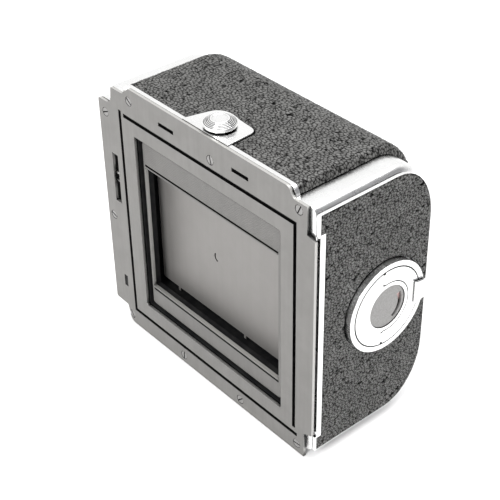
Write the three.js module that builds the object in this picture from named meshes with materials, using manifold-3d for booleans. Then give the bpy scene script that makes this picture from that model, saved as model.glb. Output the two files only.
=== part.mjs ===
// Roll-film magazine for a medium-format single-lens camera: a chrome shell with leather panels, a front
// plate that mates with the camera, a geared winding side, and a film insert that slides out sideways.
// Units are millimetres. +Z is up, -Y faces the camera and +X is the key side.
import * as THREE from 'three';
import { mergeVertices } from 'three/addons/utils/BufferGeometryUtils.js';
import Module from 'manifold-3d';

const wasm = await Module();
wasm.setup();

// ---------------------------------------------------------------- driving dimensions
// Everything below is measured from the optical axis on the mating plane: x across, y back, z up.
const AXIS_HEIGHT = 41.0;            // optical axis above the resting plane
const DEPTH = 44.2;                  // mating plane to the leather on the back

const SHELL = { half: 42.2, top: 41.0, bottom: -38.2, back: 42.4, edge: 2.2, wall: 1.8 };
const CORNER = { deep: 14.6, tall: 19.0 };                               // round back corners, along y and z
const PLATEAU = { foot: 35.2, crest: 32.6, rise: 2.8, riseBack: 1.8, leather: 0.8, lipEnd: 2.2 };
const PLATE = { thick: 0.85, left: -46.7, right: 42.8, top: 43.8, bottom: -40.9 };
const OPENING = { x: 30.5, z: 29.5 };
const GATE = { width: 56.0, height: 41.5, z: -0.6 };
const MASK = { x: 29.15, top: 28.2, bottom: -28.4, front: 1.4, back: 2.35, round: 0.7 };
const LIP = { tall: 0.45, proud: 0.25, above: 0.4, below: 0.95, deep: 0.6 };   // gate lips and their grooves
const SLIDE = { front: 0.95, back: 1.45, low: -31.2, high: 32.2 };       // dark slide channel
const FRAME = { x: 38.2, top: 38.5, bottom: -35.5, back: 4.4 };          // inner front frame
const POST = { inner: 38.5, back: 3.4 };                                 // corner post on the key side
const WALL = { outer: -39.0, inner: -37.4 };                             // wall beside the gear space
const FIT = 0.3;                                                         // gap where pieces meet
const TIGHT = 0.15;

const COVER = {
  outer: -46.6, inner: -42.35, top: 35.6, bottom: -33.6, back: 39.0, corner: 13.0, wall: 1.2,
};
const SCREW = { head: 1.3, headDeep: 0.6, shank: 0.7, length: 2.9, slot: 0.35 };
const SCREWS = [
  [-31.7, 39.9], [3.4, 37.3], [37.1, 38.9], [-43.6, 31.8], [-44.0, -3.2],
  [-38.8, -38.0], [-12.9, -38.3], [13.1, -38.3], [37.0, -38.0],
];
const HOOK_SLOTS = [[-18.5, -11.9], [11.9, 18.5]];
const HOOK_SLOT_Z = [38.0, 39.15];
const GEAR_SLOT = { x0: -42.2, x1: -39.4, z0: 2.9, z1: 19.2 };
const PIN_HOLE = { x0: -41.5, x1: -39.9, z0: -28.0, z1: -24.0 };

const BUTTON = { x: 1.0, y: 5.6, base: 4.5, top: 2.8, travel: 3.0, stem: 1.4, z: 44.4, height: 2.2 };
const TONGUE = { bottom: 42.95, top: 44.1 };
const BAR = { x0: -22.0, x1: 22.0, y0: 1.6, y1: 3.4, z0: 38.55, z1: 39.6, armHalf: 2.6 };

const SPOOL = {
  half: 32.6, flange: 12.6, flangeAt: 30.5, flangeThick: 1.2, core: 6.0, hub: 4.6, bore: 2.35, y: 26.5,
};
const SPOOL_PIN = { r: 1.95, collar: 3.4, collarWide: 1.4, tip: 28.5 };
const SUPPLY_Z = 22.5;
const TAKEUP_Z = -19.7;
const ROLLER = { r: 2.8, y: 8.3, top: 30.2, bottom: -27.6, shaft: 1.0 };
const PRESSURE = { x: 31.5, top: 20.8, bottom: -22.9, front: 7.8, thick: 1.0, corner: 0.6, flange: 24.0 };
const LUG = { at: [-24.0, 6.3], half: 0.5, drop: 1.4, thick: 0.7 };        // under the pressure plate
const CRESCENT = { x: -4.6, z: -1.6, r: 1.7, wide: 0.4, from: 2.5, to: 4.5, deep: 0.5 };   // pressure plate
const CHEEK = { left: -36.6, right: 37.2, thick: 1.2, front: 5.2 };
const WEB = { front: 10.8, thick: 1.2, top: 27.0, bottom: -24.0 };

const KEY = { y: 24.4, z: 1.6, ring: 13.6, ringIn: 12.05, disc: 11.7, flap: 7.8, inner: 7.5, window: 6.45 };
const KEY_TUBE = { r: 8.45, bore: 8.75 };
const KEY_FACE = 45.1;
const KEY_BACK = 43.9;
const HINGE = { y: 22.75, x: 44.65, pin: 0.25, knuckle: 0.48, swing: 0.7, from: 6.9, to: 11.0 };
const END = { seam: 42.35, floor: 42.6, rim: 43.15, leather: 43.4, plug: 40.4 };
const STEP = { top: 33.2, bottom: -32.0 };                               // the end plate steps forward here
const BOSS = { r: 2.2, at: [[10, 33], [10, -30], [35, 22], [35, -19]] };   // carrier bosses, (y, z)
const CAM = { x0: 39.05, x1: 40.15, r: 11.2, bore: 8.6, reach: 14.0, half: 2.5 };

const GEAR = { module: 0.8, x0: -41.9, x1: -39.6, bore: 1.4 };
const DRIVE = { teeth: 19, y: 9.0, z: 11.0 };
const IDLER = { teeth: 24 };
const TAKEUP = { teeth: 22, y: SPOOL.y, z: TAKEUP_Z };
const SHAFT = { r: 2.8, blade: 1.2, bladeWide: 7.0 };
const HUB = { r: 9.5, inner: -47.1, outer: -48.3 };
const ARM = { hinge: 6.2, length: 17.5, half: 3.6, thick: 1.5 };
const DIAL = { y: 24.0, z: 13.0, r: 12.0, x0: -44.3, x1: -43.6 };
const COUNTER_WINDOW = { y: 24.0, z: 22.0, r: 3.4, bezel: 4.6 };
const STATUS_WINDOW = { y: 10.5, z: 24.0, r: 2.2 };
const FLAG = { y: 15.5, z: 29.0, reach: 7.1, x0: -44.2, x1: -43.7 };

// ---------------------------------------------------------------- materials
const finish = (color, roughness, metalness) =>
  new THREE.MeshStandardMaterial({ color, roughness, metalness });
const CHROME = finish(0xe8e8e6, 0.22, 1.0);
const BRIGHT = finish(0xdcdcda, 0.3, 1.0);
const STEEL = finish(0xa8a8a6, 0.4, 1.0);
const ANODISED = finish(0x8c8a87, 0.45, 0.6);
const PLATE_GREY = finish(0x9a9794, 0.5, 0.4);
const BLACK_METAL = finish(0x101010, 0.6, 0.3);
const LEATHER = finish(0x1b1b1b, 0.65, 0.0);
const PLASTIC = finish(0x18181a, 0.5, 0.0);
const GLASS = finish(0xb8c0c4, 0.08, 0.0);
const RED_GLASS = finish(0x8a1f22, 0.15, 0.0);
const WHITE_PAINT = finish(0xe6e4dc, 0.6, 0.0);
const FELT = finish(0x0c0c0c, 0.95, 0.0);

// ---------------------------------------------------------------- solid helpers
function solid(geometry) {
  const bare = geometry.clone();
  bare.deleteAttribute('normal');
  bare.deleteAttribute('uv');
  const merged = mergeVertices(bare, 1e-4);
  const mesh = new wasm.Mesh({
    numProp: 3,
    vertProperties: new Float32Array(merged.attributes.position.array),
    triVerts: new Uint32Array(merged.index.array),
  });
  return new wasm.Manifold(mesh);
}

function geometryOf(manifold) {
  const mesh = manifold.getMesh();
  const geometry = new THREE.BufferGeometry();
  geometry.setAttribute('position', new THREE.BufferAttribute(new Float32Array(mesh.vertProperties), 3));
  geometry.setIndex(new THREE.BufferAttribute(new Uint32Array(mesh.triVerts), 1));
  geometry.computeVertexNormals();
  return geometry;
}

const union = (pieces) => pieces.reduce((whole, piece) => whole.add(piece));
const cut = (body, pieces) => pieces.reduce((whole, piece) => whole.subtract(piece), body);

function box(x0, x1, y0, y1, z0, z1) {
  const geometry = new THREE.BoxGeometry(x1 - x0, y1 - y0, z1 - z0);
  return solid(geometry.translate((x0 + x1) / 2, (y0 + y1) / 2, (z0 + z1) / 2));
}

function rodX(r, x0, x1, y, z, sides = 20) {
  const geometry = new THREE.CylinderGeometry(r, r, x1 - x0, sides);
  return solid(geometry.rotateZ(-Math.PI / 2).translate((x0 + x1) / 2, y, z));
}

function rodY(r, y0, y1, x, z, sides = 14) {
  const geometry = new THREE.CylinderGeometry(r, r, y1 - y0, sides);
  return solid(geometry.translate(x, (y0 + y1) / 2, z));
}

function rodZ(r, z0, z1, x, y, sides = 16) {
  const geometry = new THREE.CylinderGeometry(r, r, z1 - z0, sides);
  return solid(geometry.rotateX(Math.PI / 2).translate(x, y, (z0 + z1) / 2));
}

// Extrusions of an outline: drawn in (y, z) and run along X, in (x, z) along Y, or in (x, y) along Z.
const ALONG_X = new THREE.Matrix4().makeBasis(
  new THREE.Vector3(0, 1, 0), new THREE.Vector3(0, 0, 1), new THREE.Vector3(1, 0, 0));
const ALONG_Y = new THREE.Matrix4().makeBasis(
  new THREE.Vector3(1, 0, 0), new THREE.Vector3(0, 0, 1), new THREE.Vector3(0, -1, 0));

function extrude(outline, depth, options = {}) {
  const settings = { depth, bevelEnabled: false, curveSegments: 5, steps: 1, ...options };
  return new THREE.ExtrudeGeometry(outline, settings);
}

function prismX(outline, x0, x1, options) {
  return solid(extrude(outline, x1 - x0, options).applyMatrix4(ALONG_X).translate(x0, 0, 0));
}

function prismY(outline, y0, y1, options) {
  return solid(extrude(outline, y1 - y0, options).applyMatrix4(ALONG_Y).translate(0, y1, 0));
}

function prismZ(outline, z0, z1, options) {
  return solid(extrude(outline, z1 - z0, options).translate(0, 0, z0));
}

// Both ends rounded by `size` in the outline and `thick` along the run; the outline is the full-size middle.
function roundedExtrude(outline, length, size, thick, bevelSegments) {
  const bevel = { bevelEnabled: true, bevelSize: size, bevelThickness: thick, bevelOffset: -size };
  return extrude(outline, length - 2 * thick, { ...bevel, bevelSegments });
}

function roundedPrismX(outline, x0, x1, size, thick, bevelSegments = 4) {
  const geometry = roundedExtrude(outline, x1 - x0, size, thick, bevelSegments);
  return solid(geometry.applyMatrix4(ALONG_X).translate(x0 + thick, 0, 0));
}

function roundedPrismY(outline, y0, y1, size) {
  const geometry = roundedExtrude(outline, y1 - y0, size, size, 3);
  return solid(geometry.applyMatrix4(ALONG_Y).translate(0, y1 - size, 0));
}

function outlineOf(points) {
  return new THREE.Shape(points.map(([a, b]) => new THREE.Vector2(a, b)));
}

function roundedRect(a0, a1, b0, b1, r) {
  const shape = new THREE.Shape();
  shape.moveTo(a0 + r, b0);
  shape.lineTo(a1 - r, b0);
  shape.absarc(a1 - r, b0 + r, r, -Math.PI / 2, 0, false);
  shape.lineTo(a1, b1 - r);
  shape.absarc(a1 - r, b1 - r, r, 0, Math.PI / 2, false);
  shape.lineTo(a0 + r, b1);
  shape.absarc(a0 + r, b1 - r, r, Math.PI / 2, Math.PI, false);
  shape.lineTo(a0, b0 + r);
  shape.absarc(a0 + r, b0 + r, r, Math.PI, 1.5 * Math.PI, false);
  return shape;
}

// A solid of revolution about an axis along X, from (x, radius) points that start and end on the axis.
function turnedX(profile, y, z, segments = 30) {
  const points = profile.map(([x, r]) => new THREE.Vector2(r, x));
  const geometry = new THREE.LatheGeometry(points, segments).rotateZ(-Math.PI / 2);
  return solid(geometry.translate(0, y, z));
}

function turnedZ(profile, x, y, segments = 28) {
  const points = profile.map(([z, r]) => new THREE.Vector2(r, z));
  const geometry = new THREE.LatheGeometry(points, segments).rotateX(Math.PI / 2);
  return solid(geometry.translate(x, y, 0));
}

function tubeX(rOut, rIn, x0, x1, y, z, sides = 40) {
  return rodX(rOut, x0, x1, y, z, sides).subtract(rodX(rIn, x0 - 1, x1 + 1, y, z, sides));
}

class Helix extends THREE.Curve {
  constructor(radius, length, turns) {
    super();
    Object.assign(this, { radius, length, turns });
  }

  getPoint(t, target = new THREE.Vector3()) {
    const angle = 2 * Math.PI * this.turns * t;
    return target.set(this.radius * Math.cos(angle), this.radius * Math.sin(angle), this.length * t);
  }
}

function coilSpring(radius, length, turns, wire) {
  const section = new THREE.Shape().absarc(0, 0, wire, 0, 2 * Math.PI, false);
  const options = { steps: turns * 8, curveSegments: 2, bevelEnabled: false };
  return new THREE.ExtrudeGeometry(section, { ...options, extrudePath: new Helix(radius, length, turns) });
}

function place(parent, name, shape, material) {
  const geometry = shape.isBufferGeometry ? shape : geometryOf(shape);
  const mesh = new THREE.Mesh(geometry, material);
  mesh.name = name;
  parent.add(mesh);
  return mesh;
}

// ---------------------------------------------------------------- shared outlines
const FAR_FRONT = -20;

// Side view of the body: straight at the front, with two elliptical corners at the back.
function sideOutline(grow, growBack = grow) {
  const top = SHELL.top + grow;
  const bottom = SHELL.bottom - grow;
  const back = SHELL.back + growBack;
  const deep = CORNER.deep + growBack;
  const tall = CORNER.tall + grow;
  const shape = new THREE.Shape();
  shape.moveTo(FAR_FRONT, bottom);
  shape.lineTo(back - deep, bottom);
  shape.absellipse(back - deep, bottom + tall, deep, tall, -Math.PI / 2, 0, false, 0);
  shape.lineTo(back, top - tall);
  shape.absellipse(back - deep, top - tall, deep, tall, 0, Math.PI / 2, false, 0);
  shape.lineTo(FAR_FRONT, top);
  return shape;
}

// The raised band round the middle of the body; `inset` makes the smaller one that lies inside it.
function band(inset) {
  const rise = PLATEAU.rise - inset;
  const outline = sideOutline(rise, PLATEAU.riseBack - inset);
  const foot = PLATEAU.foot - inset;
  return roundedPrismX(outline, -foot, foot, rise, PLATEAU.foot - PLATEAU.crest, 3);
}

const FAR = 80;
const keepBehind = (y) => box(-FAR, FAR, y, FAR, -FAR, FAR);

// Outline of the catch plate. A cutter made from it grows by `grow` all round and further at the front.
function tongueOutline(grow) {
  const shape = new THREE.Shape();
  shape.moveTo(-8.9 - grow, SLIDE.front);
  if (grow > 0) {
    shape.lineTo(-8.9 - grow, 0);
    shape.lineTo(9.6 + grow, 0);
  }
  shape.lineTo(9.6 + grow, SLIDE.front);
  shape.lineTo(9.1 + grow, 8.8);
  shape.quadraticCurveTo(9.0 + grow, 11.1 + grow, 6.6, 11.2 + grow);
  shape.lineTo(1.8, 11.5 + grow);
  shape.quadraticCurveTo(-1.2, 12.3 + grow, -3.4, 11.9 + grow);
  shape.quadraticCurveTo(-6.4 - grow, 11.0 + grow, -7.0 - grow, 8.2);
  return shape;
}

function screwHoles() {
  return SCREWS.map(([x, z]) => rodY(SCREW.shank + TIGHT, -1, SCREW.length + FIT, x, z, 6));
}

// The space that the catch bar slides in, with the slot for its stem and the two hook mouths.
function catchSpace() {
  const roomEnd = BAR.x1 + BUTTON.travel + 4.5;
  const y0 = BUTTON.y - BUTTON.stem - FIT;
  const y1 = BUTTON.y + BUTTON.stem + FIT;
  const [low, high] = HOOK_SLOT_Z;
  const mouths = HOOK_SLOTS.map(([x0, x1]) => box(x0, x1, 0.5, BAR.y1 + 0.4, low, high));
  const armHalf = BAR.armHalf + 2 * FIT;
  const stemHalf = BUTTON.stem + FIT;
  return union([
    box(BAR.x0 - FIT, roomEnd, 0.5, BAR.y1 + 0.4, BAR.z0 - 0.25, BAR.z1 + FIT),
    box(BUTTON.x - armHalf, BUTTON.x + armHalf + BUTTON.travel, BAR.y0, y1, BAR.z0 - 0.25, BAR.z1 + FIT),
    box(BUTTON.x - stemHalf, BUTTON.x + stemHalf + BUTTON.travel, y0, y1, BAR.z0, 50),
    ...mouths,
  ]);
}

// ---------------------------------------------------------------- housing
function housingShell() {
  const outer = roundedPrismX(sideOutline(0), -SHELL.half, SHELL.half, SHELL.edge, SHELL.edge)
    .intersect(keepBehind(SLIDE.front));
  const plateau = band(PLATEAU.leather + 0.2).intersect(keepBehind(SLIDE.front));
  const lip = band(0).intersect(box(-FAR, FAR, SLIDE.front, PLATEAU.lipEnd, -FAR, FAR));
  const filmSpace = prismX(sideOutline(-SHELL.wall), WALL.inner, 60).intersect(keepBehind(FRAME.back + 0.2));
  const doorway = box(POST.inner, 60, POST.back, 6, SHELL.bottom + SHELL.wall, SHELL.top - SHELL.wall);
  const framePocket = box(-POST.inner, POST.inner, 0, FRAME.back + 1, FRAME.bottom - FIT, FRAME.top + FIT);
  const gearSpace = prismX(gearSpaceOutline(), -60, WALL.outer);
  const slideSlot = box(POST.inner - 2, 60, 0, SLIDE.back, SLIDE.low, SLIDE.high);
  const pinStop = box(-42.0, WALL.outer + 0.5, 15.5, 17.0, -29.0, -23.0);
  const postSeat = ({ y, z }) => rodX(1.5, WALL.outer - 1, WALL.outer + 0.9, y, z);
  const posts = [DRIVE, IDLER_AT, DIAL, FLAG].map(postSeat);
  const shaftHole = rodX(SHAFT.r + 0.2, -60, WALL.inner + 1, TAKEUP.y, TAKEUP.z);
  return cut(outer.add(plateau).add(lip), [filmSpace, doorway, framePocket, gearSpace, slideSlot])
    .add(pinStop)
    .subtract(union([...posts, shaftHole, ...screwHoles(), catchSpace()]))
    .subtract(prismZ(tongueOutline(TIGHT), TONGUE.bottom - TIGHT, 50));
}

function gearSpaceOutline() {
  const shape = new THREE.Shape();
  shape.moveTo(FAR_FRONT, -32.4);
  shape.lineTo(24, -32.4);
  shape.quadraticCurveTo(37.6, -32.4, 37.6, -19);
  shape.lineTo(37.6, 21);
  shape.quadraticCurveTo(37.6, 34.4, 24, 34.4);
  shape.lineTo(FAR_FRONT, 34.4);
  return shape;
}

function bodyLeather() {
  const skin = band(0).subtract(band(PLATEAU.leather)).intersect(keepBehind(PLATEAU.lipEnd + 0.2));
  return cut(skin, [
    prismX(sideOutline(TIGHT), -60, 60),
    prismZ(tongueOutline(FIT), 40, 60),
  ]);
}

// ---------------------------------------------------------------- front plate and its screws
function plateOutline() {
  const p = PLATE;
  const shape = new THREE.Shape();
  shape.moveTo(-46.0, -35.2);
  shape.lineTo(-40.9, -35.4);
  shape.lineTo(-40.2, -37.6);
  shape.quadraticCurveTo(-40.0, p.bottom, -37.6, p.bottom);
  shape.lineTo(39.8, p.bottom);
  shape.lineTo(39.8, -32.4);
  shape.lineTo(p.right, SLIDE.low);
  shape.lineTo(p.right, SLIDE.high);
  shape.lineTo(40.0, 33.1);
  shape.lineTo(39.9, SHELL.top + 0.1);
  shape.lineTo(PLATEAU.foot + 0.3, SHELL.top + 0.1);
  shape.quadraticCurveTo(34.4, 41.6, 34.0, 42.6);
  shape.quadraticCurveTo(33.6, p.top, PLATEAU.crest - 0.5, p.top);
  shape.lineTo(-31.6, p.top);
  shape.lineTo(-34.6, SHELL.top + 0.2);
  shape.lineTo(-40.1, SHELL.top);
  shape.lineTo(-40.6, 36.8);
  shape.lineTo(-42.1, 35.5);
  shape.lineTo(p.left + 0.5, 35.4);
  shape.quadraticCurveTo(p.left, 35.4, p.left, 34.8);
  shape.lineTo(p.left, -34.4);
  shape.quadraticCurveTo(p.left, -35.2, -46.0, -35.2);
  return shape;
}

// Two L-shaped light-trap slots that leave a bridge at opposite corners.
function trapSlots() {
  return [
    box(-37.1, -35.9, -1, 2, -35.4, 35.3),
    box(-37.1, 37.1, -1, 2, -35.4, -34.2),
    box(-34.9, 36.3, -1, 2, 33.7, 34.9),
    box(35.1, 36.3, -1, 2, -32.8, 34.9),
  ];
}

function frontPlate() {
  const blank = prismY(plateOutline(), 0, PLATE.thick);
  const heads = SCREWS.map(([x, z]) => rodY(SCREW.head + TIGHT, -1, SCREW.headDeep + TIGHT, x, z, 12));
  const hooks = HOOK_SLOTS.map(([x0, x1]) => box(x0, x1, -1, 2, HOOK_SLOT_Z[0], HOOK_SLOT_Z[1]));
  return cut(blank, [
    prismY(roundedRect(-OPENING.x, OPENING.x, -OPENING.z, OPENING.z, 0.6), -1, 2),
    ...trapSlots(),
    ...heads,
    ...hooks,
    ...screwHoles(),
    box(GEAR_SLOT.x0, GEAR_SLOT.x1, -1, 2, GEAR_SLOT.z0, GEAR_SLOT.z1),
    box(PIN_HOLE.x0, PIN_HOLE.x1, -1, 2, PIN_HOLE.z0, PIN_HOLE.z1),
  ]);
}

function plateScrew(turn) {
  const head = rodY(SCREW.head, 0.05, SCREW.headDeep, 0, 0, 14);
  const shank = rodY(SCREW.shank, SCREW.headDeep - 0.1, SCREW.length, 0, 0, 6);
  const driverSlot = box(-2, 2, -1, 0.35, -SCREW.slot / 2, SCREW.slot / 2).rotate([0, turn, 0]);
  return head.add(shank).subtract(driverSlot);
}

// ---------------------------------------------------------------- inner front frame and gate mask
function frontFrame() {
  const blank = box(-FRAME.x, FRAME.x, SLIDE.front, FRAME.back, FRAME.bottom, FRAME.top);
  const well = box(-OPENING.x, OPENING.x, 0, MASK.back + FIT, -OPENING.z, OPENING.z);
  const channel = box(-34, 60, 0, SLIDE.back, SLIDE.low, SLIDE.high);
  const aperture = box(-28.6, 28.6, 0, 6, GATE.z - 21.4, GATE.z + 21.4);
  const sealSeat = box(34.2, 37.6, 0, 2.6, -30.8, 31.8);
  return cut(blank, [well, channel, aperture, sealSeat, catchSpace(), ...screwHoles()]);
}

function gateMask() {
  const { x, top, bottom, front, back, round } = MASK;
  const blank = roundedPrismY(roundedRect(-x, x, bottom, top, 2 * round), front, back + round, round)
    .intersect(box(-FAR, FAR, 0, back, -FAR, FAR));
  const half = GATE.width / 2;
  const low = GATE.z - GATE.height / 2;
  const high = GATE.z + GATE.height / 2;
  const lipAt = (z) => box(-half, half, front - LIP.proud, back - 0.2, z, z + LIP.tall);
  const grooveAt = (z0, z1) => box(-half, half, 0, front + LIP.deep, z0, z1);
  return cut(union([blank, lipAt(low - LIP.tall), lipAt(high)]), [
    box(-half, half, 0, 4, low, high),
    grooveAt(low - LIP.tall - LIP.below, low - LIP.tall),
    grooveAt(high + LIP.tall, high + LIP.tall + LIP.above),
  ]);
}

function lightSeal() {
  return box(34.5, 37.3, 1.55, 2.4, -30.5, 31.5);
}

// ---------------------------------------------------------------- winding side cover
function coverOutline(inset) {
  const c = COVER;
  const r = c.corner - inset;
  const top = c.top - inset;
  const bottom = c.bottom + inset;
  const back = c.back - inset;
  const shape = new THREE.Shape();
  shape.moveTo(FAR_FRONT, bottom);
  shape.lineTo(back - r, bottom);
  shape.absarc(back - r, bottom + r, r, -Math.PI / 2, 0, false);
  shape.lineTo(back, top - r);
  shape.absarc(back - r, top - r, r, 0, Math.PI / 2, false);
  shape.lineTo(FAR_FRONT, top);
  return shape;
}

function crankSideCover() {
  const c = COVER;
  const outer = roundedPrismX(coverOutline(0), c.outer, c.inner + 1.4, 1.2, 1.2, 3)
    .intersect(box(c.outer - 1, c.inner, SLIDE.front, FAR, -FAR, FAR));
  const hollow = prismX(coverOutline(c.wall), c.outer + 1.6, 0).intersect(keepBehind(3.6));
  const leatherSeat = prismX(coverOutline(1.3), c.outer - 1, c.outer + 0.4).intersect(keepBehind(2.4));
  const gearWindow = box(GEAR_SLOT.x0 - 0.3, 0, 0, 5, GEAR_SLOT.z0, GEAR_SLOT.z1);
  const windows = [COUNTER_WINDOW, STATUS_WINDOW].map((at) => rodX(at.r + TIGHT, -60, -40, at.y, at.z));
  const { y, z, bezel } = COUNTER_WINDOW;
  const bezelSeat = rodX(bezel + TIGHT, -60, c.outer + 0.9, y, z);
  const shaftHole = rodX(SHAFT.r + 0.25, -60, -40, TAKEUP.y, TAKEUP.z);
  return cut(outer, [hollow, leatherSeat, gearWindow, ...windows, bezelSeat, shaftHole, ...screwHoles()]);
}

function crankSideLeather() {
  const sheet = prismX(coverOutline(1.6), COVER.outer - 0.3, COVER.outer + 0.3).intersect(keepBehind(2.7));
  return cut(sheet, [
    rodX(COUNTER_WINDOW.bezel + FIT, -60, -40, COUNTER_WINDOW.y, COUNTER_WINDOW.z, 36),
    rodX(STATUS_WINDOW.r + TIGHT, -60, -40, STATUS_WINDOW.y, STATUS_WINDOW.z),
    rodX(HUB.r + 0.6, -60, -40, TAKEUP.y, TAKEUP.z, 48),
  ]);
}

function counterBezel() {
  const { y, z, r, bezel } = COUNTER_WINDOW;
  return tubeX(bezel, r, COVER.outer - 0.9, COVER.outer + 0.7, y, z, 40);
}

function windowDisc({ y, z, r }, x0, x1) {
  return rodX(r - TIGHT, x0, x1, y, z);
}

// ---------------------------------------------------------------- magazine catch
function catchPlate() {
  const travel = BUTTON.travel;
  const y0 = BUTTON.y - BUTTON.stem - FIT;
  const y1 = BUTTON.y + BUTTON.stem + FIT;
  const slot = box(BUTTON.x - BUTTON.stem - FIT, BUTTON.x + BUTTON.stem + travel + FIT, y0, y1, 40, 50);
  return prismZ(tongueOutline(0), TONGUE.bottom, TONGUE.top).subtract(slot);
}

// A low stepped cone with turned rings, as a thumb grip.
function catchButton() {
  const { base, top, z, height } = BUTTON;
  const rings = 3;
  const step = (base - top) / rings;
  const profile = [[z, 0], [z, base - 0.25], [z + 0.2, base], [z + height * 0.45, base]];
  for (let ring = 0; ring < rings; ring += 1) {
    const r = base - step * ring;
    const h = z + height * (0.45 + (0.5 * ring) / rings);
    profile.push([h + 0.3, r - 0.15], [h + 0.3, r - step * 0.55], [h + 0.12, r - step * 0.75]);
  }
  profile.push([z + height - 0.15, top - 0.1], [z + height, top - 0.35], [z + height, 0]);
  return turnedZ(profile, BUTTON.x, BUTTON.y);
}

function catchBar() {
  const { x, y, stem } = BUTTON;
  const bar = box(BAR.x0, BAR.x1, BAR.y0, BAR.y1, BAR.z0, BAR.z1);
  const arm = box(x - BAR.armHalf, x + BAR.armHalf, BAR.y0, y + stem, BAR.z0, BAR.z1);
  const post = rodZ(stem, BAR.z0, TONGUE.top + 0.1, x, y);
  const notches = HOOK_SLOTS.map(([x0, x1]) => box(x0 + 0.8, x1 - 1.6, 0, 2.6, 30, 50));
  return cut(union([bar, arm, post]), notches);
}

// ---------------------------------------------------------------- gears and winding crank
const pitchRadius = (teeth) => (GEAR.module * teeth) / 2;
const toothAngle = (teeth) => (2 * Math.PI) / teeth;

// The idler's centre closes the triangle between the driving gear and the take-up gear.
function idlerCentre() {
  const toDrive = pitchRadius(DRIVE.teeth) + pitchRadius(IDLER.teeth);
  const toTakeup = pitchRadius(TAKEUP.teeth) + pitchRadius(IDLER.teeth);
  const dy = TAKEUP.y - DRIVE.y;
  const dz = TAKEUP.z - DRIVE.z;
  const base = Math.hypot(dy, dz);
  const along = (toDrive ** 2 - toTakeup ** 2 + base ** 2) / (2 * base);
  const aside = Math.sqrt(toDrive ** 2 - along ** 2);
  return { y: DRIVE.y + (along * dy - aside * dz) / base, z: DRIVE.z + (along * dz + aside * dy) / base };
}

const IDLER_AT = idlerCentre();

// Angle of a tooth on the follower so that its teeth stand in the gaps of the gear that it meets.
function meshPhase(from, fromTeeth, fromPhase, to, toTeeth) {
  const line = Math.atan2(to.z - from.z, to.y - from.y);
  const share = (fromPhase - line) / toothAngle(fromTeeth) + 0.5;
  return line + Math.PI - toothAngle(toTeeth) * share;
}

function gear({ teeth, y, z }, phase, bore) {
  const pitch = pitchRadius(teeth);
  const tip = pitch + 0.9 * GEAR.module;
  const root = pitch - 1.15 * GEAR.module;
  const angle = toothAngle(teeth);
  const corners = [[root, -0.29], [tip, -0.11], [tip, 0.11], [root, 0.29]];
  const points = [];
  for (let tooth = 0; tooth < teeth; tooth += 1) {
    for (const [r, share] of corners) {
      const turn = phase + angle * (tooth + share);
      points.push([r * Math.cos(turn), r * Math.sin(turn)]);
    }
  }
  return prismX(outlineOf(points), GEAR.x0, GEAR.x1).translate([0, y, z])
    .subtract(rodX(bore, -60, -30, y, z, 20));
}

function gearPost({ y, z }, outerEnd) {
  return rodX(1.2, outerEnd, WALL.outer + 0.6, y, z, 20);
}

function crankShaft() {
  const { y, z } = TAKEUP;
  const bar = rodX(SHAFT.r, HUB.inner + 0.1, -33.9, y, z);
  const wide = SHAFT.bladeWide / 2;
  const thick = SHAFT.blade / 2;
  const blade = box(-34.0, -30.7, y - wide, y + wide, z - thick, z + thick);
  return bar.add(blade);
}

function crankHub() {
  const { y, z } = TAKEUP;
  const { r, inner, outer } = HUB;
  const disc = turnedX([[outer, 0], [outer, r - 0.5], [outer + 0.4, r], [inner, r], [inner, 0]], y, z, 48);
  const hingeZ = z + ARM.hinge;
  const ears = [-1, 1].map((side) => {
    const inside = y + side * (ARM.half + 0.25);
    const outside = y + side * (ARM.half + 1.7);
    const [from, to] = [Math.min(inside, outside), Math.max(inside, outside)];
    return box(outer - 1.8, outer + 0.3, from, to, hingeZ - 1.1, hingeZ + 1.1);
  });
  const pinBore = rodY(0.65, y - 10, y + 10, outer - 0.95, hingeZ, 10);
  return union([disc, ...ears]).subtract(pinBore);
}

function crankArm() {
  const { y, z } = TAKEUP;
  const hingeZ = z + ARM.hinge;
  const near = HUB.outer - 0.2;
  const far = near - ARM.thick;
  const bar = new THREE.Shape();
  const end = hingeZ - ARM.length;
  bar.moveTo(y - ARM.half, hingeZ);
  bar.lineTo(y - ARM.half + 0.6, end + 3.0);
  bar.quadraticCurveTo(y - ARM.half + 0.8, end, y, end);
  bar.quadraticCurveTo(y + ARM.half - 0.8, end, y + ARM.half - 0.6, end + 3.0);
  bar.lineTo(y + ARM.half, hingeZ);
  const knuckle = rodY(ARM.thick / 2, y - ARM.half, y + ARM.half, near - ARM.thick / 2, hingeZ, 20);
  const grip = [0, 1, 2].map((rib) => {
    const ribZ = end + 2.6 + rib * 1.3;
    return box(far - 0.35, far + 0.2, y - 2.0, y + 2.0, ribZ - 0.3, ribZ + 0.3);
  });
  return union([prismX(bar, far, near), knuckle, ...grip])
    .subtract(rodY(0.65, y - 10, y + 10, near - ARM.thick / 2, hingeZ, 10));
}

function counterDial() {
  const { y, z, r, x0, x1 } = DIAL;
  const disc = rodX(r, x0, x1, y, z, 48);
  return disc.subtract(rodX(1.4, -60, -30, y, z, 20));
}

function statusFlag() {
  const { y, z, x0, x1, reach } = FLAG;
  const lean = Math.atan2(STATUS_WINDOW.z - z, STATUS_WINDOW.y - y);
  const shape = new THREE.Shape();
  const spread = 0.42;
  shape.moveTo(y + 1.9 * Math.cos(lean + 1.3), z + 1.9 * Math.sin(lean + 1.3));
  shape.absarc(y, z, reach + 2.4, lean + spread, lean - spread, true);
  shape.lineTo(y + 1.9 * Math.cos(lean - 1.3), z + 1.9 * Math.sin(lean - 1.3));
  shape.absarc(y, z, 1.9, lean - 1.3, lean + 1.3, true);
  return prismX(shape, x0, x1).subtract(rodX(1.4, -60, -30, y, z, 20));
}

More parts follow.
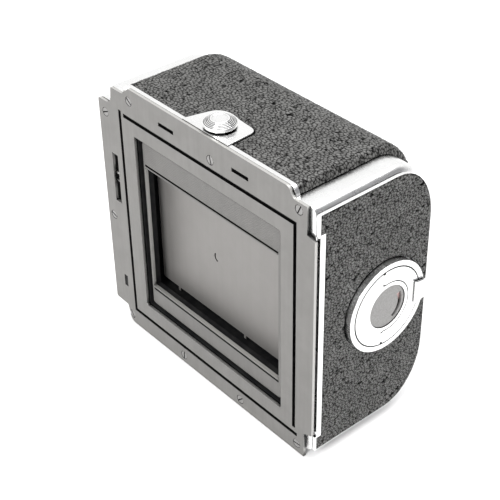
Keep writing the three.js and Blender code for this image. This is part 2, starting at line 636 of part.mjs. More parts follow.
function interlockPin() {
  const { x0, x1, z0, z1 } = PIN_HOLE;
  const square = box(x0 + 0.2, x1 - 0.2, 0.1, 8.0, z0 + 0.2, z1 - 0.2);
  return square.add(rodY(0.6, 7.5, 9.5, (x0 + x1) / 2, (z0 + z1) / 2, 12));
}

// ---------------------------------------------------------------- film insert
// The end plate steps forward above and below the dark slide's slot; `spread` moves both steps outwards.
function steppedFront(blank, slotFront, endFront, spread) {
  const upper = box(0, FAR, endFront, FAR, STEP.top + spread, FAR);
  const lower = box(0, FAR, endFront, FAR, -FAR, STEP.bottom - spread);
  const middle = box(0, FAR, slotFront, FAR, -FAR, FAR);
  return blank.intersect(union([middle, upper, lower]));
}

function insertEndPlate() {
  const rimFront = SLIDE.back + 0.1;
  const rim = steppedFront(prismX(sideOutline(-1.25), END.seam, END.rim), rimFront, SLIDE.front, 0);
  const plug = prismX(sideOutline(-SHELL.wall - FIT), END.plug, END.seam + 0.1)
    .intersect(keepBehind(POST.back + FIT));
  const seat = steppedFront(prismX(sideOutline(-1.5), END.floor, 60), POST.back - 0.1, 1.65, 0.6);
  const bossStart = CHEEK.right + CHEEK.thick + 0.1;
  const bosses = BOSS.at.map(([y, z]) => rodX(BOSS.r, bossStart, END.plug + 0.5, y, z, 16));
  return cut(union([rim, plug, ...bosses]), [seat, rodX(KEY_TUBE.bore, 30, 60, KEY.y, KEY.z, 48)]);
}

function keySideLeather() {
  const blank = prismX(sideOutline(-1.65), END.floor + 0.1, END.leather);
  const sheet = steppedFront(blank, POST.back + 0.1, 1.85, 0.8);
  return sheet.subtract(rodX(KEY.ring + FIT, 30, 60, KEY.y, KEY.z, 64));
}

function insertCarrier() {
  const cheekOutline = sideOutline(-SHELL.wall - 0.8);
  const cheekAt = (x) => prismX(cheekOutline, x, x + CHEEK.thick, { curveSegments: 3 });
  const web = box(CHEEK.left, CHEEK.right + 0.2, WEB.front, WEB.front + WEB.thick, WEB.bottom, WEB.top);
  const backStrip = box(CHEEK.left, CHEEK.right + 0.2, 37.8, 39.0, -3, 6);
  const spoolHoles = [SUPPLY_Z, TAKEUP_Z].map((z) => rodX(2.25, -60, 60, SPOOL.y, z, 12));
  const rollerHole = (z) => rodX(ROLLER.shaft + 0.25, -60, 60, ROLLER.y, z, 10);
  const shaftHole = rodX(5.2, -60, -30, SPOOL.y, TAKEUP_Z);
  const frame = union([cheekAt(CHEEK.left), cheekAt(CHEEK.right), web, backStrip]);
  return cut(frame.intersect(keepBehind(CHEEK.front)), [
    ...spoolHoles,
    rollerHole(ROLLER.top),
    rollerHole(ROLLER.bottom),
    shaftHole,
    box(-24, 24, 0, 20, -16, -6),
    box(-24, 24, 0, 20, 8, 18),
  ]);
}

function pressurePlate() {
  const { x, top, bottom, front, thick, corner, flange } = PRESSURE;
  const blank = prismY(roundedRect(-x, x, bottom, top, corner), front, front + thick);
  const flangeAt = (z) => box(-flange, flange, front + 0.2, front + 2.4, z, z + 1.0);
  const lugAt = (at) => box(
    at - LUG.half, at + LUG.half, front + 0.1, front + 0.1 + LUG.thick, bottom - LUG.drop, bottom + 0.5);
  const mark = new THREE.Shape();
  mark.absarc(CRESCENT.x, CRESCENT.z, CRESCENT.r, CRESCENT.from, CRESCENT.to, false);
  mark.absarc(CRESCENT.x + 0.15, CRESCENT.z, CRESCENT.r - CRESCENT.wide, CRESCENT.to, CRESCENT.from, true);
  return union([blank, flangeAt(bottom + 0.1), flangeAt(top - 1.1), ...LUG.at.map(lugAt)])
    .subtract(prismY(mark, 0, front + CRESCENT.deep));
}

function pressureSpring(x) {
  const bow = new THREE.Shape();
  bow.moveTo(WEB.front - 0.35, -11);
  bow.quadraticCurveTo(PRESSURE.front + PRESSURE.thick - 0.5, -1, WEB.front - 0.35, 9);
  bow.lineTo(WEB.front - 0.15, 9);
  bow.quadraticCurveTo(PRESSURE.front + PRESSURE.thick + 0.2, -1, WEB.front - 0.15, -11);
  return prismX(bow, x - 2.5, x + 2.5);
}

function filmSpool(z) {
  const { half, flange, flangeAt, flangeThick, core, hub, y } = SPOOL;
  const profile = [
    [-half, 0], [-half, hub], [-flangeAt - flangeThick, hub], [-flangeAt - flangeThick, flange],
    [-flangeAt, flange], [-flangeAt, core], [flangeAt, core], [flangeAt, flange],
    [flangeAt + flangeThick, flange], [flangeAt + flangeThick, hub], [half, hub], [half, 0],
  ];
  const ends = [rodX(SPOOL.bore, -40, -26, y, z, 12), rodX(SPOOL.bore, 26, 40, y, z, 12)];
  const key = box(-40, -29.6, y - 4.0, y + 4.0, z - 0.95, z + 0.95);
  const filmSlot = box(-24, 24, y - 8, y + 8, z - 0.6, z + 0.6);
  return cut(turnedX(profile, y, z, 24), [...ends, key, filmSlot]);
}

function spoolPin(side, z) {
  const cheek = side > 0 ? CHEEK.right : CHEEK.left;
  const outer = side > 0 ? CHEEK.right + CHEEK.thick + 0.2 : CHEEK.left - 0.2;
  const { r, collar, collarWide } = SPOOL_PIN;
  const tip = side * SPOOL_PIN.tip;
  const pin = rodX(r, Math.min(tip, outer), Math.max(tip, outer), SPOOL.y, z, 12);
  const collarFrom = side > 0 ? cheek - collarWide - 0.2 : cheek + CHEEK.thick + 0.2;
  return pin.add(rodX(collar, collarFrom, collarFrom + collarWide, SPOOL.y, z, 16));
}

function guideRoller(z) {
  const body = rodX(ROLLER.r, CHEEK.left + CHEEK.thick + FIT, CHEEK.right - FIT, ROLLER.y, z, 24);
  return body.add(rodX(ROLLER.shaft, CHEEK.left - 0.1, CHEEK.right + CHEEK.thick + 0.1, ROLLER.y, z, 16));
}

// ---------------------------------------------------------------- insert key
function keyRing() {
  const { y, z, ring, ringIn } = KEY;
  const collar = tubeX(ring, ringIn, END.floor + 0.1, KEY_FACE, y, z, 48);
  const floor = tubeX(ringIn + 0.1, KEY_TUBE.bore, END.floor + 0.1, END.floor + 0.7, y, z, 48);
  return collar.add(floor);
}

// The fixed half of the key's face, its round window collar and the tube that reaches the lock cam.
function keyDisc() {
  const { y, z, disc, flap, inner, window } = KEY;
  const face = rodX(disc, KEY_BACK - 0.45, KEY_FACE, y, z, 48);
  const flapRoom = box(KEY_BACK - FIT, 60, HINGE.y, 60, -60, 60).subtract(rodX(inner, 0, 60, y, z, 60));
  const tube = rodX(KEY_TUBE.r, CAM.x0 - 0.05, KEY_BACK - 0.4, y, z, 36);
  return cut(face, [flapRoom])
    .add(tube)
    .subtract(union([
      rodX(window, 0, 60, y, z, 60),
      rodZ(HINGE.swing, z + inner + 0.05, z + 20, HINGE.x, HINGE.y, 20),
      rodZ(HINGE.swing, z - 20, z - inner - 0.05, HINGE.x, HINGE.y, 20),
      rodZ(HINGE.pin + 0.1, z - 20, z + 20, HINGE.x, HINGE.y, 12),
      box(KEY_BACK - FIT, 60, HINGE.y, 60, -60, 60).intersect(tubeX(20, flap - 0.2, 0, 60, y, z, 60)),
    ]));
}

function keyFlap() {
  const { y, z, disc, flap } = KEY;
  const half = tubeX(disc, flap, KEY_BACK, KEY_FACE, y, z, 48).intersect(keepBehind(HINGE.y + 0.28));
  const lip = new THREE.Shape();
  lip.moveTo(y + 9.8, z - 3.4);
  lip.lineTo(y + 13.2, z - 2.9);
  lip.quadraticCurveTo(y + 15.3, z - 2.4, y + 15.3, z);
  lip.quadraticCurveTo(y + 15.3, z + 2.4, y + 13.2, z + 2.9);
  lip.lineTo(y + 9.8, z + 3.4);
  const tab = prismX(lip, KEY_FACE + 0.22, KEY_FACE + 0.85);
  const root = prismX(lip, KEY_BACK + 0.2, KEY_FACE + 0.5).intersect(rodX(disc - 0.2, 0, 60, y, z, 60));
  const pinBore = (at) => rodZ(HINGE.pin + 0.1, at - 4, at + 4, HINGE.x, HINGE.y, 12);
  const knuckle = (at) => rodZ(HINGE.knuckle, at - 1.55, at + 1.55, HINGE.x, HINGE.y, 20);
  const leaf = union([half, tab, root, knuckle(z + 9.55), knuckle(z - 9.55)]);
  return cut(leaf, [pinBore(z + 10), pinBore(z - 10)]);
}

function flapPin(side) {
  const from = KEY.z + side * HINGE.from;
  const to = KEY.z + side * HINGE.to;
  return rodZ(HINGE.pin, Math.min(from, to), Math.max(from, to), HINGE.x, HINGE.y, 12);
}

// Window cover with a crescent slot that lets the film's paper be read through the glass behind it.
function peepCover() {
  const { y, z, window } = KEY;
  const from = -1.05;
  const to = 0.5;
  const slot = new THREE.Shape();
  slot.absarc(y, z, 5.5, from, to, false);
  slot.absarc(y - 0.5, z, 4.6, to, from, true);
  return rodX(window - TIGHT, KEY_BACK + 0.25, KEY_FACE - 0.25, y, z, 48).subtract(prismX(slot, 0, 60));
}

function peepGlass() {
  return rodX(KEY.window - TIGHT, KEY_BACK - 0.9, KEY_BACK, KEY.y, KEY.z, 48);
}

function lockCam() {
  const { y, z } = KEY;
  const { x0, x1, r, bore, reach, half } = CAM;
  const lugs = box(x0, x1, y - half, y + half, z - reach, z + reach);
  return rodX(r, x0, x1, y, z, 40).add(lugs).subtract(rodX(bore, 0, 60, y, z, 48));
}

// ---------------------------------------------------------------- assembly
const magazine = new THREE.Group();
const fromAxis = new THREE.Group();
fromAxis.position.set(0, -DEPTH / 2, AXIS_HEIGHT);
magazine.add(fromAxis);

const housing = new THREE.Group();
place(housing, 'housing_shell', housingShell(), CHROME);
place(housing, 'body_leather', bodyLeather(), LEATHER);
place(housing, 'front_plate', frontPlate(), PLATE_GREY);
SCREWS.forEach(([x, z], index) => {
  const screw = place(housing, `plate_screw_${index + 1}`, plateScrew(35 + 40 * index), PLATE_GREY);
  screw.position.set(x, 0, z);
});
place(housing, 'front_frame', frontFrame(), BLACK_METAL);
place(housing, 'gate_mask', gateMask(), ANODISED);
place(housing, 'light_seal', lightSeal(), FELT);
place(housing, 'crank_side_cover', crankSideCover(), CHROME);
place(housing, 'crank_side_leather', crankSideLeather(), LEATHER);
place(housing, 'catch_plate', catchPlate(), CHROME);
place(housing, 'counter_bezel', counterBezel(), BRIGHT);
place(housing, 'counter_window', windowDisc(COUNTER_WINDOW, COVER.outer + 0.1, COVER.outer + 0.7), GLASS);
place(housing, 'status_window', windowDisc(STATUS_WINDOW, COVER.outer, COVER.outer + 1.2), GLASS);
place(housing, 'drive_gear_post', gearPost(DRIVE, GEAR.x0 - 0.4), STEEL);
place(housing, 'idler_post', gearPost(IDLER_AT, GEAR.x0 - 0.4), STEEL);
place(housing, 'dial_post', gearPost(DIAL, DIAL.x0 - 0.4), STEEL);
place(housing, 'flag_post', gearPost(FLAG, FLAG.x0 - 0.4), STEEL);
fromAxis.add(housing);

const catchGroup = new THREE.Group();
place(catchGroup, 'catch_button', catchButton(), CHROME);
place(catchGroup, 'catch_bar', catchBar(), STEEL);
const catchSpring = place(catchGroup, 'catch_spring', coilSpring(0.45, 6.0, 6, 0.12), STEEL);
catchSpring.rotation.y = Math.PI / 2;
catchSpring.position.set(BAR.x1 + 0.3, (BAR.y0 + BAR.y1) / 2, (BAR.z0 + BAR.z1) / 2);
fromAxis.add(catchGroup);

const idlerPhase = meshPhase(DRIVE, DRIVE.teeth, 0, IDLER_AT, IDLER.teeth);
const takeupPhase = meshPhase(IDLER_AT, IDLER.teeth, idlerPhase, TAKEUP, TAKEUP.teeth);
const winding = new THREE.Group();
place(winding, 'drive_gear', gear(DRIVE, 0, GEAR.bore), STEEL);
place(winding, 'idler_gear', gear({ teeth: IDLER.teeth, ...IDLER_AT }, idlerPhase, GEAR.bore), STEEL);
place(winding, 'takeup_gear', gear(TAKEUP, takeupPhase, SHAFT.r + TIGHT), STEEL);
place(winding, 'crank_shaft', crankShaft(), STEEL);
place(winding, 'crank_hub', crankHub(), CHROME);
place(winding, 'crank_arm', crankArm(), BRIGHT);
place(winding, 'crank_arm_pin', rodY(0.5, TAKEUP.y - ARM.half - 1.5, TAKEUP.y + ARM.half + 1.5,
  HUB.outer - 0.95, TAKEUP.z + ARM.hinge, 10), STEEL);
place(winding, 'counter_dial', counterDial(), WHITE_PAINT);
place(winding, 'status_flag', statusFlag(), WHITE_PAINT);
fromAxis.add(winding);

const interlock = new THREE.Group();
place(interlock, 'interlock_pin', interlockPin(), BLACK_METAL);
const pinSpring = place(interlock, 'interlock_spring', coilSpring(0.95, 7.0, 5, 0.15), STEEL);
pinSpring.rotation.x = -Math.PI / 2;
pinSpring.position.set((PIN_HOLE.x0 + PIN_HOLE.x1) / 2, 8.2, (PIN_HOLE.z0 + PIN_HOLE.z1) / 2);
fromAxis.add(interlock);

const insert = new THREE.Group();
place(insert, 'insert_end_plate', insertEndPlate(), CHROME);
place(insert, 'key_side_leather', keySideLeather(), LEATHER);
place(insert, 'insert_carrier', insertCarrier(), BLACK_METAL);
place(insert, 'pressure_plate', pressurePlate(), ANODISED);
place(insert, 'pressure_spring_left', pressureSpring(-17), STEEL);
place(insert, 'pressure_spring_right', pressureSpring(17), STEEL);
place(insert, 'supply_spool', filmSpool(SUPPLY_Z), PLASTIC);
place(insert, 'takeup_spool', filmSpool(TAKEUP_Z), PLASTIC);
place(insert, 'supply_pin_left', spoolPin(-1, SUPPLY_Z), STEEL);
place(insert, 'supply_pin_right', spoolPin(1, SUPPLY_Z), STEEL);
place(insert, 'takeup_pin', spoolPin(1, TAKEUP_Z), STEEL);
place(insert, 'guide_roller_top', guideRoller(ROLLER.top), BLACK_METAL);
place(insert, 'guide_roller_bottom', guideRoller(ROLLER.bottom), BLACK_METAL);
fromAxis.add(insert);

const key = new THREE.Group();
place(key, 'key_ring', keyRing(), CHROME);
place(key, 'key_disc', keyDisc(), CHROME);
place(key, 'key_flap', keyFlap(), CHROME);
place(key, 'flap_pin_upper', flapPin(1), STEEL);
place(key, 'flap_pin_lower', flapPin(-1), STEEL);
place(key, 'peep_cover', peepCover(), ANODISED);
place(key, 'peep_glass', peepGlass(), RED_GLASS);
place(key, 'lock_cam', lockCam(), STEEL);
insert.add(key);

export default magazine;
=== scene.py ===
"""Looks for the roll-film magazine: procedural materials, grained leather, turned parts, lights
and camera.

Lengths are millimetres. Gate coordinates count from the optical axis on the mating plane (x across,
y back, z up), and `row` turns them into the frame's metres.
"""
import math

import bmesh
import bpy
import numpy as np
from mathutils import Matrix, Vector
from mathutils.geometry import delaunay_2d_cdt

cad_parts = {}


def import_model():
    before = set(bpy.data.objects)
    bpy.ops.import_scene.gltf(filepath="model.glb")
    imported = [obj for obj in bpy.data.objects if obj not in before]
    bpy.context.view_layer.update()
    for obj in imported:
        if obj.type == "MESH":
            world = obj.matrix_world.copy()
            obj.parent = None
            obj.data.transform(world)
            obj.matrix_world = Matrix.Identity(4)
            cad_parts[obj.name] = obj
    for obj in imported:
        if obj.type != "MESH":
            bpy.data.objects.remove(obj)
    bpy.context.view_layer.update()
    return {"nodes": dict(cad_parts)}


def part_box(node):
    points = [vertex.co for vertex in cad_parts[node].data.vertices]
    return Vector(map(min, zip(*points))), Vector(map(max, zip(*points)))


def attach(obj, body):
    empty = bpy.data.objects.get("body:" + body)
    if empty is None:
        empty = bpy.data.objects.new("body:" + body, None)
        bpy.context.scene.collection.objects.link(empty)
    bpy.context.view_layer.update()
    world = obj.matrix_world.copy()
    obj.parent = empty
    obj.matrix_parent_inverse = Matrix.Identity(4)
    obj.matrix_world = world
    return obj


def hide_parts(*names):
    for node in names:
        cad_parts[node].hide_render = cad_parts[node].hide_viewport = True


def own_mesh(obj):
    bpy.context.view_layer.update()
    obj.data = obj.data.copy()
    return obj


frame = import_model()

MM = 0.001

# ---------------------------------------------------------------- places taken from the frame
AXIS_HEIGHT = 41.0  # optical axis above the resting plane
MATING_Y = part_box("front_plate")[0].y / MM


def row(x, y, z):
    """Gate millimetres to the frame's metres."""
    return Vector((x, y + MATING_Y, z + AXIS_HEIGHT)) * MM


def span(node):
    """Lowest and highest corner of a CAD node in gate coordinates, in millimetres."""
    low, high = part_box(node)
    shift = Vector((0, MATING_Y, AXIS_HEIGHT))
    return low / MM - shift, high / MM - shift


# ---------------------------------------------------------------- material helpers
EDGE_SAMPLES = 4
CREVICE_SAMPLES = 8


def grey(level):
    return (level, level, level)


class Shader:
    """A new material with short calls for the nodes that the finishes below use."""

    def __init__(self, name):
        self.material = bpy.data.materials.new(name)
        self.material.use_nodes = True
        self.tree = self.material.node_tree
        self.body = self.tree.nodes["Principled BSDF"]
        where = self.node("ShaderNodeTexCoord").outputs["Object"]
        self.at = self.vector("SCALE", where, scale=1 / MM)

    def node(self, kind, **values):
        made = self.tree.nodes.new(kind)
        for key, value in values.items():
            setattr(made, key, value)
        return made

    def put(self, socket, value):
        """Links another socket to this one, or sets it to a plain value."""
        if isinstance(value, bpy.types.NodeSocket):
            self.tree.links.new(value, socket)
        else:
            socket.default_value = value

    def set(self, **values):
        """Fills sockets of the Principled shader, named with _ for each space."""
        for key, value in values.items():
            self.put(self.body.inputs[key.replace("_", " ")], value)
        return self

    def vector(self, operation, a, b=None, scale=None):
        made = self.node("ShaderNodeVectorMath", operation=operation)
        self.put(made.inputs[0], a)
        if b is not None:
            self.put(made.inputs[1], b)
        if scale is not None:
            made.inputs["Scale"].default_value = scale
        return made.outputs["Value" if operation == "DOT_PRODUCT" else "Vector"]

    def math(self, operation, a, b=0.0, clamp=False):
        made = self.node("ShaderNodeMath", operation=operation, use_clamp=clamp)
        self.put(made.inputs[0], a)
        self.put(made.inputs[1], b)
        return made.outputs[0]

    def stretched(self, x, y, z):
        """The place in millimetres, scaled by axis: a small factor draws a pattern out."""
        return self.vector("MULTIPLY", self.at, (x, y, z))

    def noise(self, per_mm, detail=3.0, at=None, rough=0.5):
        made = self.node("ShaderNodeTexNoise")
        self.put(made.inputs["Vector"], self.at if at is None else at)
        made.inputs["Scale"].default_value = per_mm
        made.inputs["Detail"].default_value = detail
        made.inputs["Roughness"].default_value = rough
        return made.outputs[0]

    def spread(self, value, low, high, to_low=0.0, to_high=1.0):
        """A smooth step from `to_low` to `to_high` while the value goes from `low` to `high`."""
        made = self.node("ShaderNodeMapRange", interpolation_type="SMOOTHSTEP")
        for index, number in enumerate((value, low, high, to_low, to_high)):
            self.put(made.inputs[index], number)
        return made.outputs[0]

    def mix(self, share, a, b):
        """Colour a at share 0, colour b at share 1."""
        made = self.node("ShaderNodeMix", data_type="RGBA")
        self.put(made.inputs[0], share)
        self.put(made.inputs[6], a if isinstance(a, bpy.types.NodeSocket) else (*a, 1))
        self.put(made.inputs[7], b if isinstance(b, bpy.types.NodeSocket) else (*b, 1))
        return made.outputs[2]

    def blend(self, value, low, high, a, b):
        """Colour a where the value is under `low`, colour b where it is over `high`."""
        return self.mix(self.spread(value, low, high), a, b)

    def times(self, a, b, clamp=False):
        return self.math("MULTIPLY", a, b, clamp)

    def bump(self, height, depth_mm, strength=1.0, over=None):
        made = self.node("ShaderNodeBump")
        made.inputs["Strength"].default_value = strength
        made.inputs["Distance"].default_value = depth_mm * MM
        self.put(made.inputs["Height"], height)
        if over is not None:
            self.put(made.inputs["Normal"], over)
        return made.outputs[0]

    def normal(self):
        return self.node("ShaderNodeNewGeometry").outputs["Normal"]

    def edges(self, radius_mm, low=0.02, high=0.25):
        """1 along convex and concave edges, fading to 0 about `radius_mm` away from them."""
        round_normal = self.node("ShaderNodeBevel", samples=EDGE_SAMPLES)
        round_normal.inputs["Radius"].default_value = radius_mm * MM
        same = self.vector("DOT_PRODUCT", round_normal.outputs[0], self.normal())
        return self.spread(self.math("SUBTRACT", 1.0, same), low, high)

    def crevice(self, reach_mm, low=0.25, high=0.75):
        """Ambient occlusion as a share: 0 deep in grooves, holes and gaps, rising to 1 on open
        faces. The finishes use it to paint shade into these places.
        """
        made = self.node("ShaderNodeAmbientOcclusion", samples=CREVICE_SAMPLES)
        made.inputs["Distance"].default_value = reach_mm * MM
        return self.spread(made.outputs["AO"], low, high)

    def axis_part(self, vector, axis):
        made = self.node("ShaderNodeSeparateXYZ")
        self.put(made.inputs[0], vector)
        return made.outputs[axis]

    def facing(self, axis):
        """How far the surface faces along an axis, either way, from 0 to 1."""
        return self.math("ABSOLUTE", self.axis_part(self.normal(), axis))

    def attribute(self, name):
        return self.node("ShaderNodeAttribute", attribute_name=name).outputs["Fac"]


# ---------------------------------------------------------------- finishes
# Near black: the colour of black paint and ink, and of the painted shade in deep gaps and holes.
BLACK_PAINT_AND_SHADE = grey(0.01)


def satin_chrome():
    """Satin chrome outside, with painted shade in its grooves and gaps; faces that look towards the
    middle of the body are painted black.
    """
    s = Shader("satin_chrome")
    normal = s.normal()
    from_middle = s.vector("SUBTRACT", s.at, (0, 0, AXIS_HEIGHT))
    outside = s.spread(s.vector("DOT_PRODUCT", normal, from_middle), -0.5, 0.5)
    cloud = s.noise(0.12, 4)
    fine = s.noise(2.2, 5, rough=0.7)
    wear = s.noise(1.0, 3, at=s.stretched(0.2, 3.0, 3.0))
    rough = s.math("ADD", s.spread(cloud, 0.3, 0.7, 0.2, 0.29), s.times(wear, 0.05))
    tone = s.blend(fine, 0.35, 0.65, (0.91, 0.91, 0.905), (0.96, 0.96, 0.955))
    # Painted shade: the chrome turns dark grey deep in its grooves and gaps.
    tone = s.mix(s.crevice(0.8, 0.2, 0.6), grey(0.05), tone)
    tone = s.mix(outside, BLACK_PAINT_AND_SHADE, tone)
    rough = s.math("ADD", rough, s.spread(outside, 0.0, 1.0, 0.4, 0.0))
    shine = s.spread(outside, 0.0, 1.0, 0.1, 0.5)
    return s.set(
        Base_Color=tone, Metallic=outside, Roughness=rough, Specular_IOR_Level=shine,
        Normal=s.bump(fine, 0.004, 0.5)).material


def turned_chrome(name, shade_below):
    """Bright plate on turned brass, with painted shade in its gaps; the second argument is the
    openness under which that painted shade sets in.
    """
    fade = 0.42
    s = Shader(name)
    fine = s.noise(3.0, 4)
    tone = s.blend(fine, 0.3, 0.7, (0.93, 0.93, 0.925), (0.97, 0.97, 0.965))
    # Painted shade: gaps and grooves go near black.
    tone = s.mix(s.crevice(0.8, shade_below - fade, shade_below), BLACK_PAINT_AND_SHADE, tone)
    rough = s.spread(s.noise(0.4, 3), 0.3, 0.7, 0.12, 0.2)
    normal = s.bump(fine, 0.002, 0.4)
    return s.set(Base_Color=tone, Metallic=1.0, Roughness=rough, Normal=normal).material


GRID_PER_MM = 1.35
GRID_FROM_Z = 21.0  # the mask's hatching starts here, above its gate


def grey_coat(name, dark, light, grid=False, reach=1.3):
    """Matt grey anodising: faint streaks, a soft mottle, edges rubbed lighter, bare metal where the
    surface turns away from the front, and painted shade (near black, no shine) in grooves, slots
    and deep openings. `grid` adds the hatching above the gate."""
    s = Shader(name)
    streak = s.noise(1.0, 3, at=s.stretched(0.9, 0.9, 0.02))
    mottle = s.noise(0.25, 3)
    share = s.math("ADD", s.times(streak, 0.45), s.times(mottle, 0.55))
    tone = s.blend(share, 0.25, 0.75, dark, light)
    open_face = s.crevice(reach, 0.35, 0.8)
    side = s.spread(s.facing("Y"), 0.75, 0.3)
    tone = s.mix(s.times(s.edges(0.12), 0.45), tone, (0.5, 0.49, 0.475))
    # Painted shade: the bare side walls go near black deep in openings.
    bare = s.mix(s.crevice(3.0, 0.62, 0.85), grey(0.004), (0.5, 0.495, 0.48))
    tone = s.mix(side, tone, bare)
    # Painted shade: near black in grooves, slots and gaps.
    tone = s.mix(open_face, grey(0.006), tone)
    normal = s.bump(s.noise(6.0, 3), 0.006, 0.6)
    if grid:
        waves = s.vector("SCALE", s.at, scale=2 * math.pi * GRID_PER_MM)
        across = s.math("SINE", s.axis_part(waves, "X"))
        up = s.math("SINE", s.axis_part(waves, "Z"))
        start = AXIS_HEIGHT + GRID_FROM_Z
        above = s.spread(s.axis_part(s.at, "Z"), start, start + 0.3)
        relief = s.times(s.times(across, up), above)
        normal = s.bump(relief, 0.05, 0.7, over=normal)
        tone = s.mix(s.times(relief, 0.28, clamp=True), tone, grey(0.02))
    # The painted shade also takes the metal look and the shine out of the crevices.
    metal = s.times(s.spread(side, 0.0, 1.0, 0.35, 0.8), open_face)
    return s.set(
        Base_Color=tone, Metallic=metal, Roughness=0.5, Specular_IOR_Level=s.times(open_face, 0.5),
        Normal=normal).material


def black_paint():
    s = Shader("black_paint")
    grain = s.noise(5.0, 3)
    tone = s.blend(s.noise(0.3), 0.3, 0.7, (0.008, 0.008, 0.009), grey(0.018))
    tone = s.mix(s.times(s.edges(0.1), 0.3), tone, grey(0.12))
    normal = s.bump(grain, 0.01, 0.5)
    return s.set(Base_Color=tone, Roughness=0.6, Specular_IOR_Level=0.1, Normal=normal).material


def leather(name, cell):
    """Black grained leather: the pebbles are in the mesh, so this adds pores, gloss and painted
    shade: near black with no shine in the creases and next to the parts that stand on it.
    """
    s = Shader(name)
    height = s.attribute("pebble")
    pores = s.noise(4.5 / cell, 4, rough=0.65)
    mottle = s.noise(0.18, 3)
    wrinkles = s.noise(1.3 / cell, 3, at=s.stretched(0.8, 0.8, 1.2))
    crease_shade = s.times(s.spread(height, 0.05, 0.95), s.spread(wrinkles, 0.3, 0.6, 0.7, 1.0))
    # Painted shadow next to close parts, such as the ring and the button.
    crease_shade = s.times(crease_shade, s.crevice(2.2, 0.1, 0.45))
    pebble = s.blend(mottle, 0.35, 0.7, (0.1, 0.099, 0.095), (0.13, 0.129, 0.124))
    # Painted shade: near black in the creases and in that shadow, lighter on the pebbles.
    tone = s.mix(crease_shade, grey(0.002), pebble)
    rough = s.math("ADD", s.spread(height, 0.1, 0.9, 0.55, 0.28), s.times(pores, 0.08))
    normal = s.bump(pores, 0.03, 0.5, over=s.bump(wrinkles, 0.12, 0.7))
    # The painted shade also has no shine.
    shine = s.times(crease_shade, 0.7)
    return s.set(
        Base_Color=tone, Roughness=rough, Specular_IOR_Level=shine, Normal=normal).material


def bare_steel():
    s = Shader("bare_steel")
    lines = s.noise(1.0, 4, at=s.stretched(6.0, 0.6, 6.0))
    tone = s.blend(lines, 0.3, 0.7, (0.42, 0.42, 0.41), (0.6, 0.6, 0.59))
    # Painted shade: near black in holes and gaps between parts.
    tone = s.mix(s.crevice(2.5, 0.2, 0.75), BLACK_PAINT_AND_SHADE, tone)
    rough = s.spread(lines, 0.3, 0.7, 0.25, 0.38)
    normal = s.bump(lines, 0.003, 0.5)
    return s.set(Base_Color=tone, Metallic=1.0, Roughness=rough, Normal=normal).material


def screw_grey():
    s = Shader("screw_grey")
    fine = s.noise(4.0, 3)
    tone = s.blend(fine, 0.3, 0.7, (0.2, 0.195, 0.19), (0.27, 0.265, 0.26))
    tone = s.mix(s.times(s.edges(0.06), 0.5), tone, (0.6, 0.59, 0.57))
    # Painted shade: near black, with no shine, in the slot and the gap round the head.
    open_face = s.crevice(1.0, 0.5, 0.92)
    tone = s.mix(open_face, grey(0.002), tone)
    return s.set(
        Base_Color=tone, Metallic=0.45, Roughness=0.42, Specular_IOR_Level=s.times(open_face, 0.5),
        Normal=s.bump(fine, 0.004, 0.5)).material


def blued_steel():
    s = Shader("blued_steel")
    lines = s.noise(1.0, 4, at=s.stretched(6.0, 0.6, 6.0))
    tone = s.blend(lines, 0.3, 0.7, (0.02, 0.02, 0.022), (0.035, 0.035, 0.038))
    tone = s.mix(s.times(s.edges(0.1), 0.4), tone, grey(0.4))
    normal = s.bump(lines, 0.003, 0.5)
    return s.set(Base_Color=tone, Metallic=0.8, Roughness=0.4, Normal=normal).material


def gear_steel():
    s = Shader("gear_steel")
    stain = s.noise(0.6, 4)
    tone = s.blend(stain, 0.35, 0.7, (0.42, 0.41, 0.4), (0.3, 0.295, 0.285))
    tone = s.mix(s.edges(0.12), tone, (0.95, 0.95, 0.93))
    # Painted shade: near black between the teeth and in the bores.
    tone = s.mix(s.crevice(2.5, 0.3, 0.55), grey(0.004), tone)
    rough = s.spread(stain, 0.3, 0.7, 0.24, 0.36)
    normal = s.bump(s.noise(4.0), 0.003, 0.5)
    return s.set(Base_Color=tone, Metallic=1.0, Roughness=rough, Normal=normal).material


def black_plastic():
    s = Shader("black_plastic")
    fine = s.noise(6.0, 3)
    tone = s.blend(s.noise(0.4), 0.3, 0.7, (0.012, 0.012, 0.013), (0.024, 0.024, 0.026))
    return s.set(Base_Color=tone, Roughness=0.42, Normal=s.bump(fine, 0.006, 0.5)).material


def white_paint():
    s = Shader("white_paint")
    tone = s.blend(s.noise(0.5), 0.35, 0.7, (0.78, 0.77, 0.71), (0.7, 0.68, 0.61))
    return s.set(Base_Color=tone, Roughness=0.5, Normal=s.bump(s.noise(5.0), 0.004, 0.4)).material


def black_ink():
    s = Shader("black_ink")
    return s.set(Base_Color=s.mix(s.noise(3.0), BLACK_PAINT_AND_SHADE, grey(0.03)), Roughness=0.6).material


def felt():
    s = Shader("felt")
    pile = s.noise(9.0, 5, rough=0.8)
    tone = s.mix(pile, grey(0.004), grey(0.02))
    normal = s.bump(pile, 0.1, 0.8)
    return s.set(Base_Color=tone, Roughness=0.95, Sheen_Weight=0.2, Normal=normal).material


def clear_glass():
    """Thin window glass: mostly see-through, with a glossy face and a trace of dust."""
    s = Shader("clear_glass")
    dust = s.spread(s.noise(1.5, 5), 0.45, 0.75, 0.02, 0.14)
    tint = (0.8, 0.84, 0.85, 1.0)
    return s.set(Base_Color=tint, Roughness=dust, Alpha=0.25, Specular_IOR_Level=0.6).material


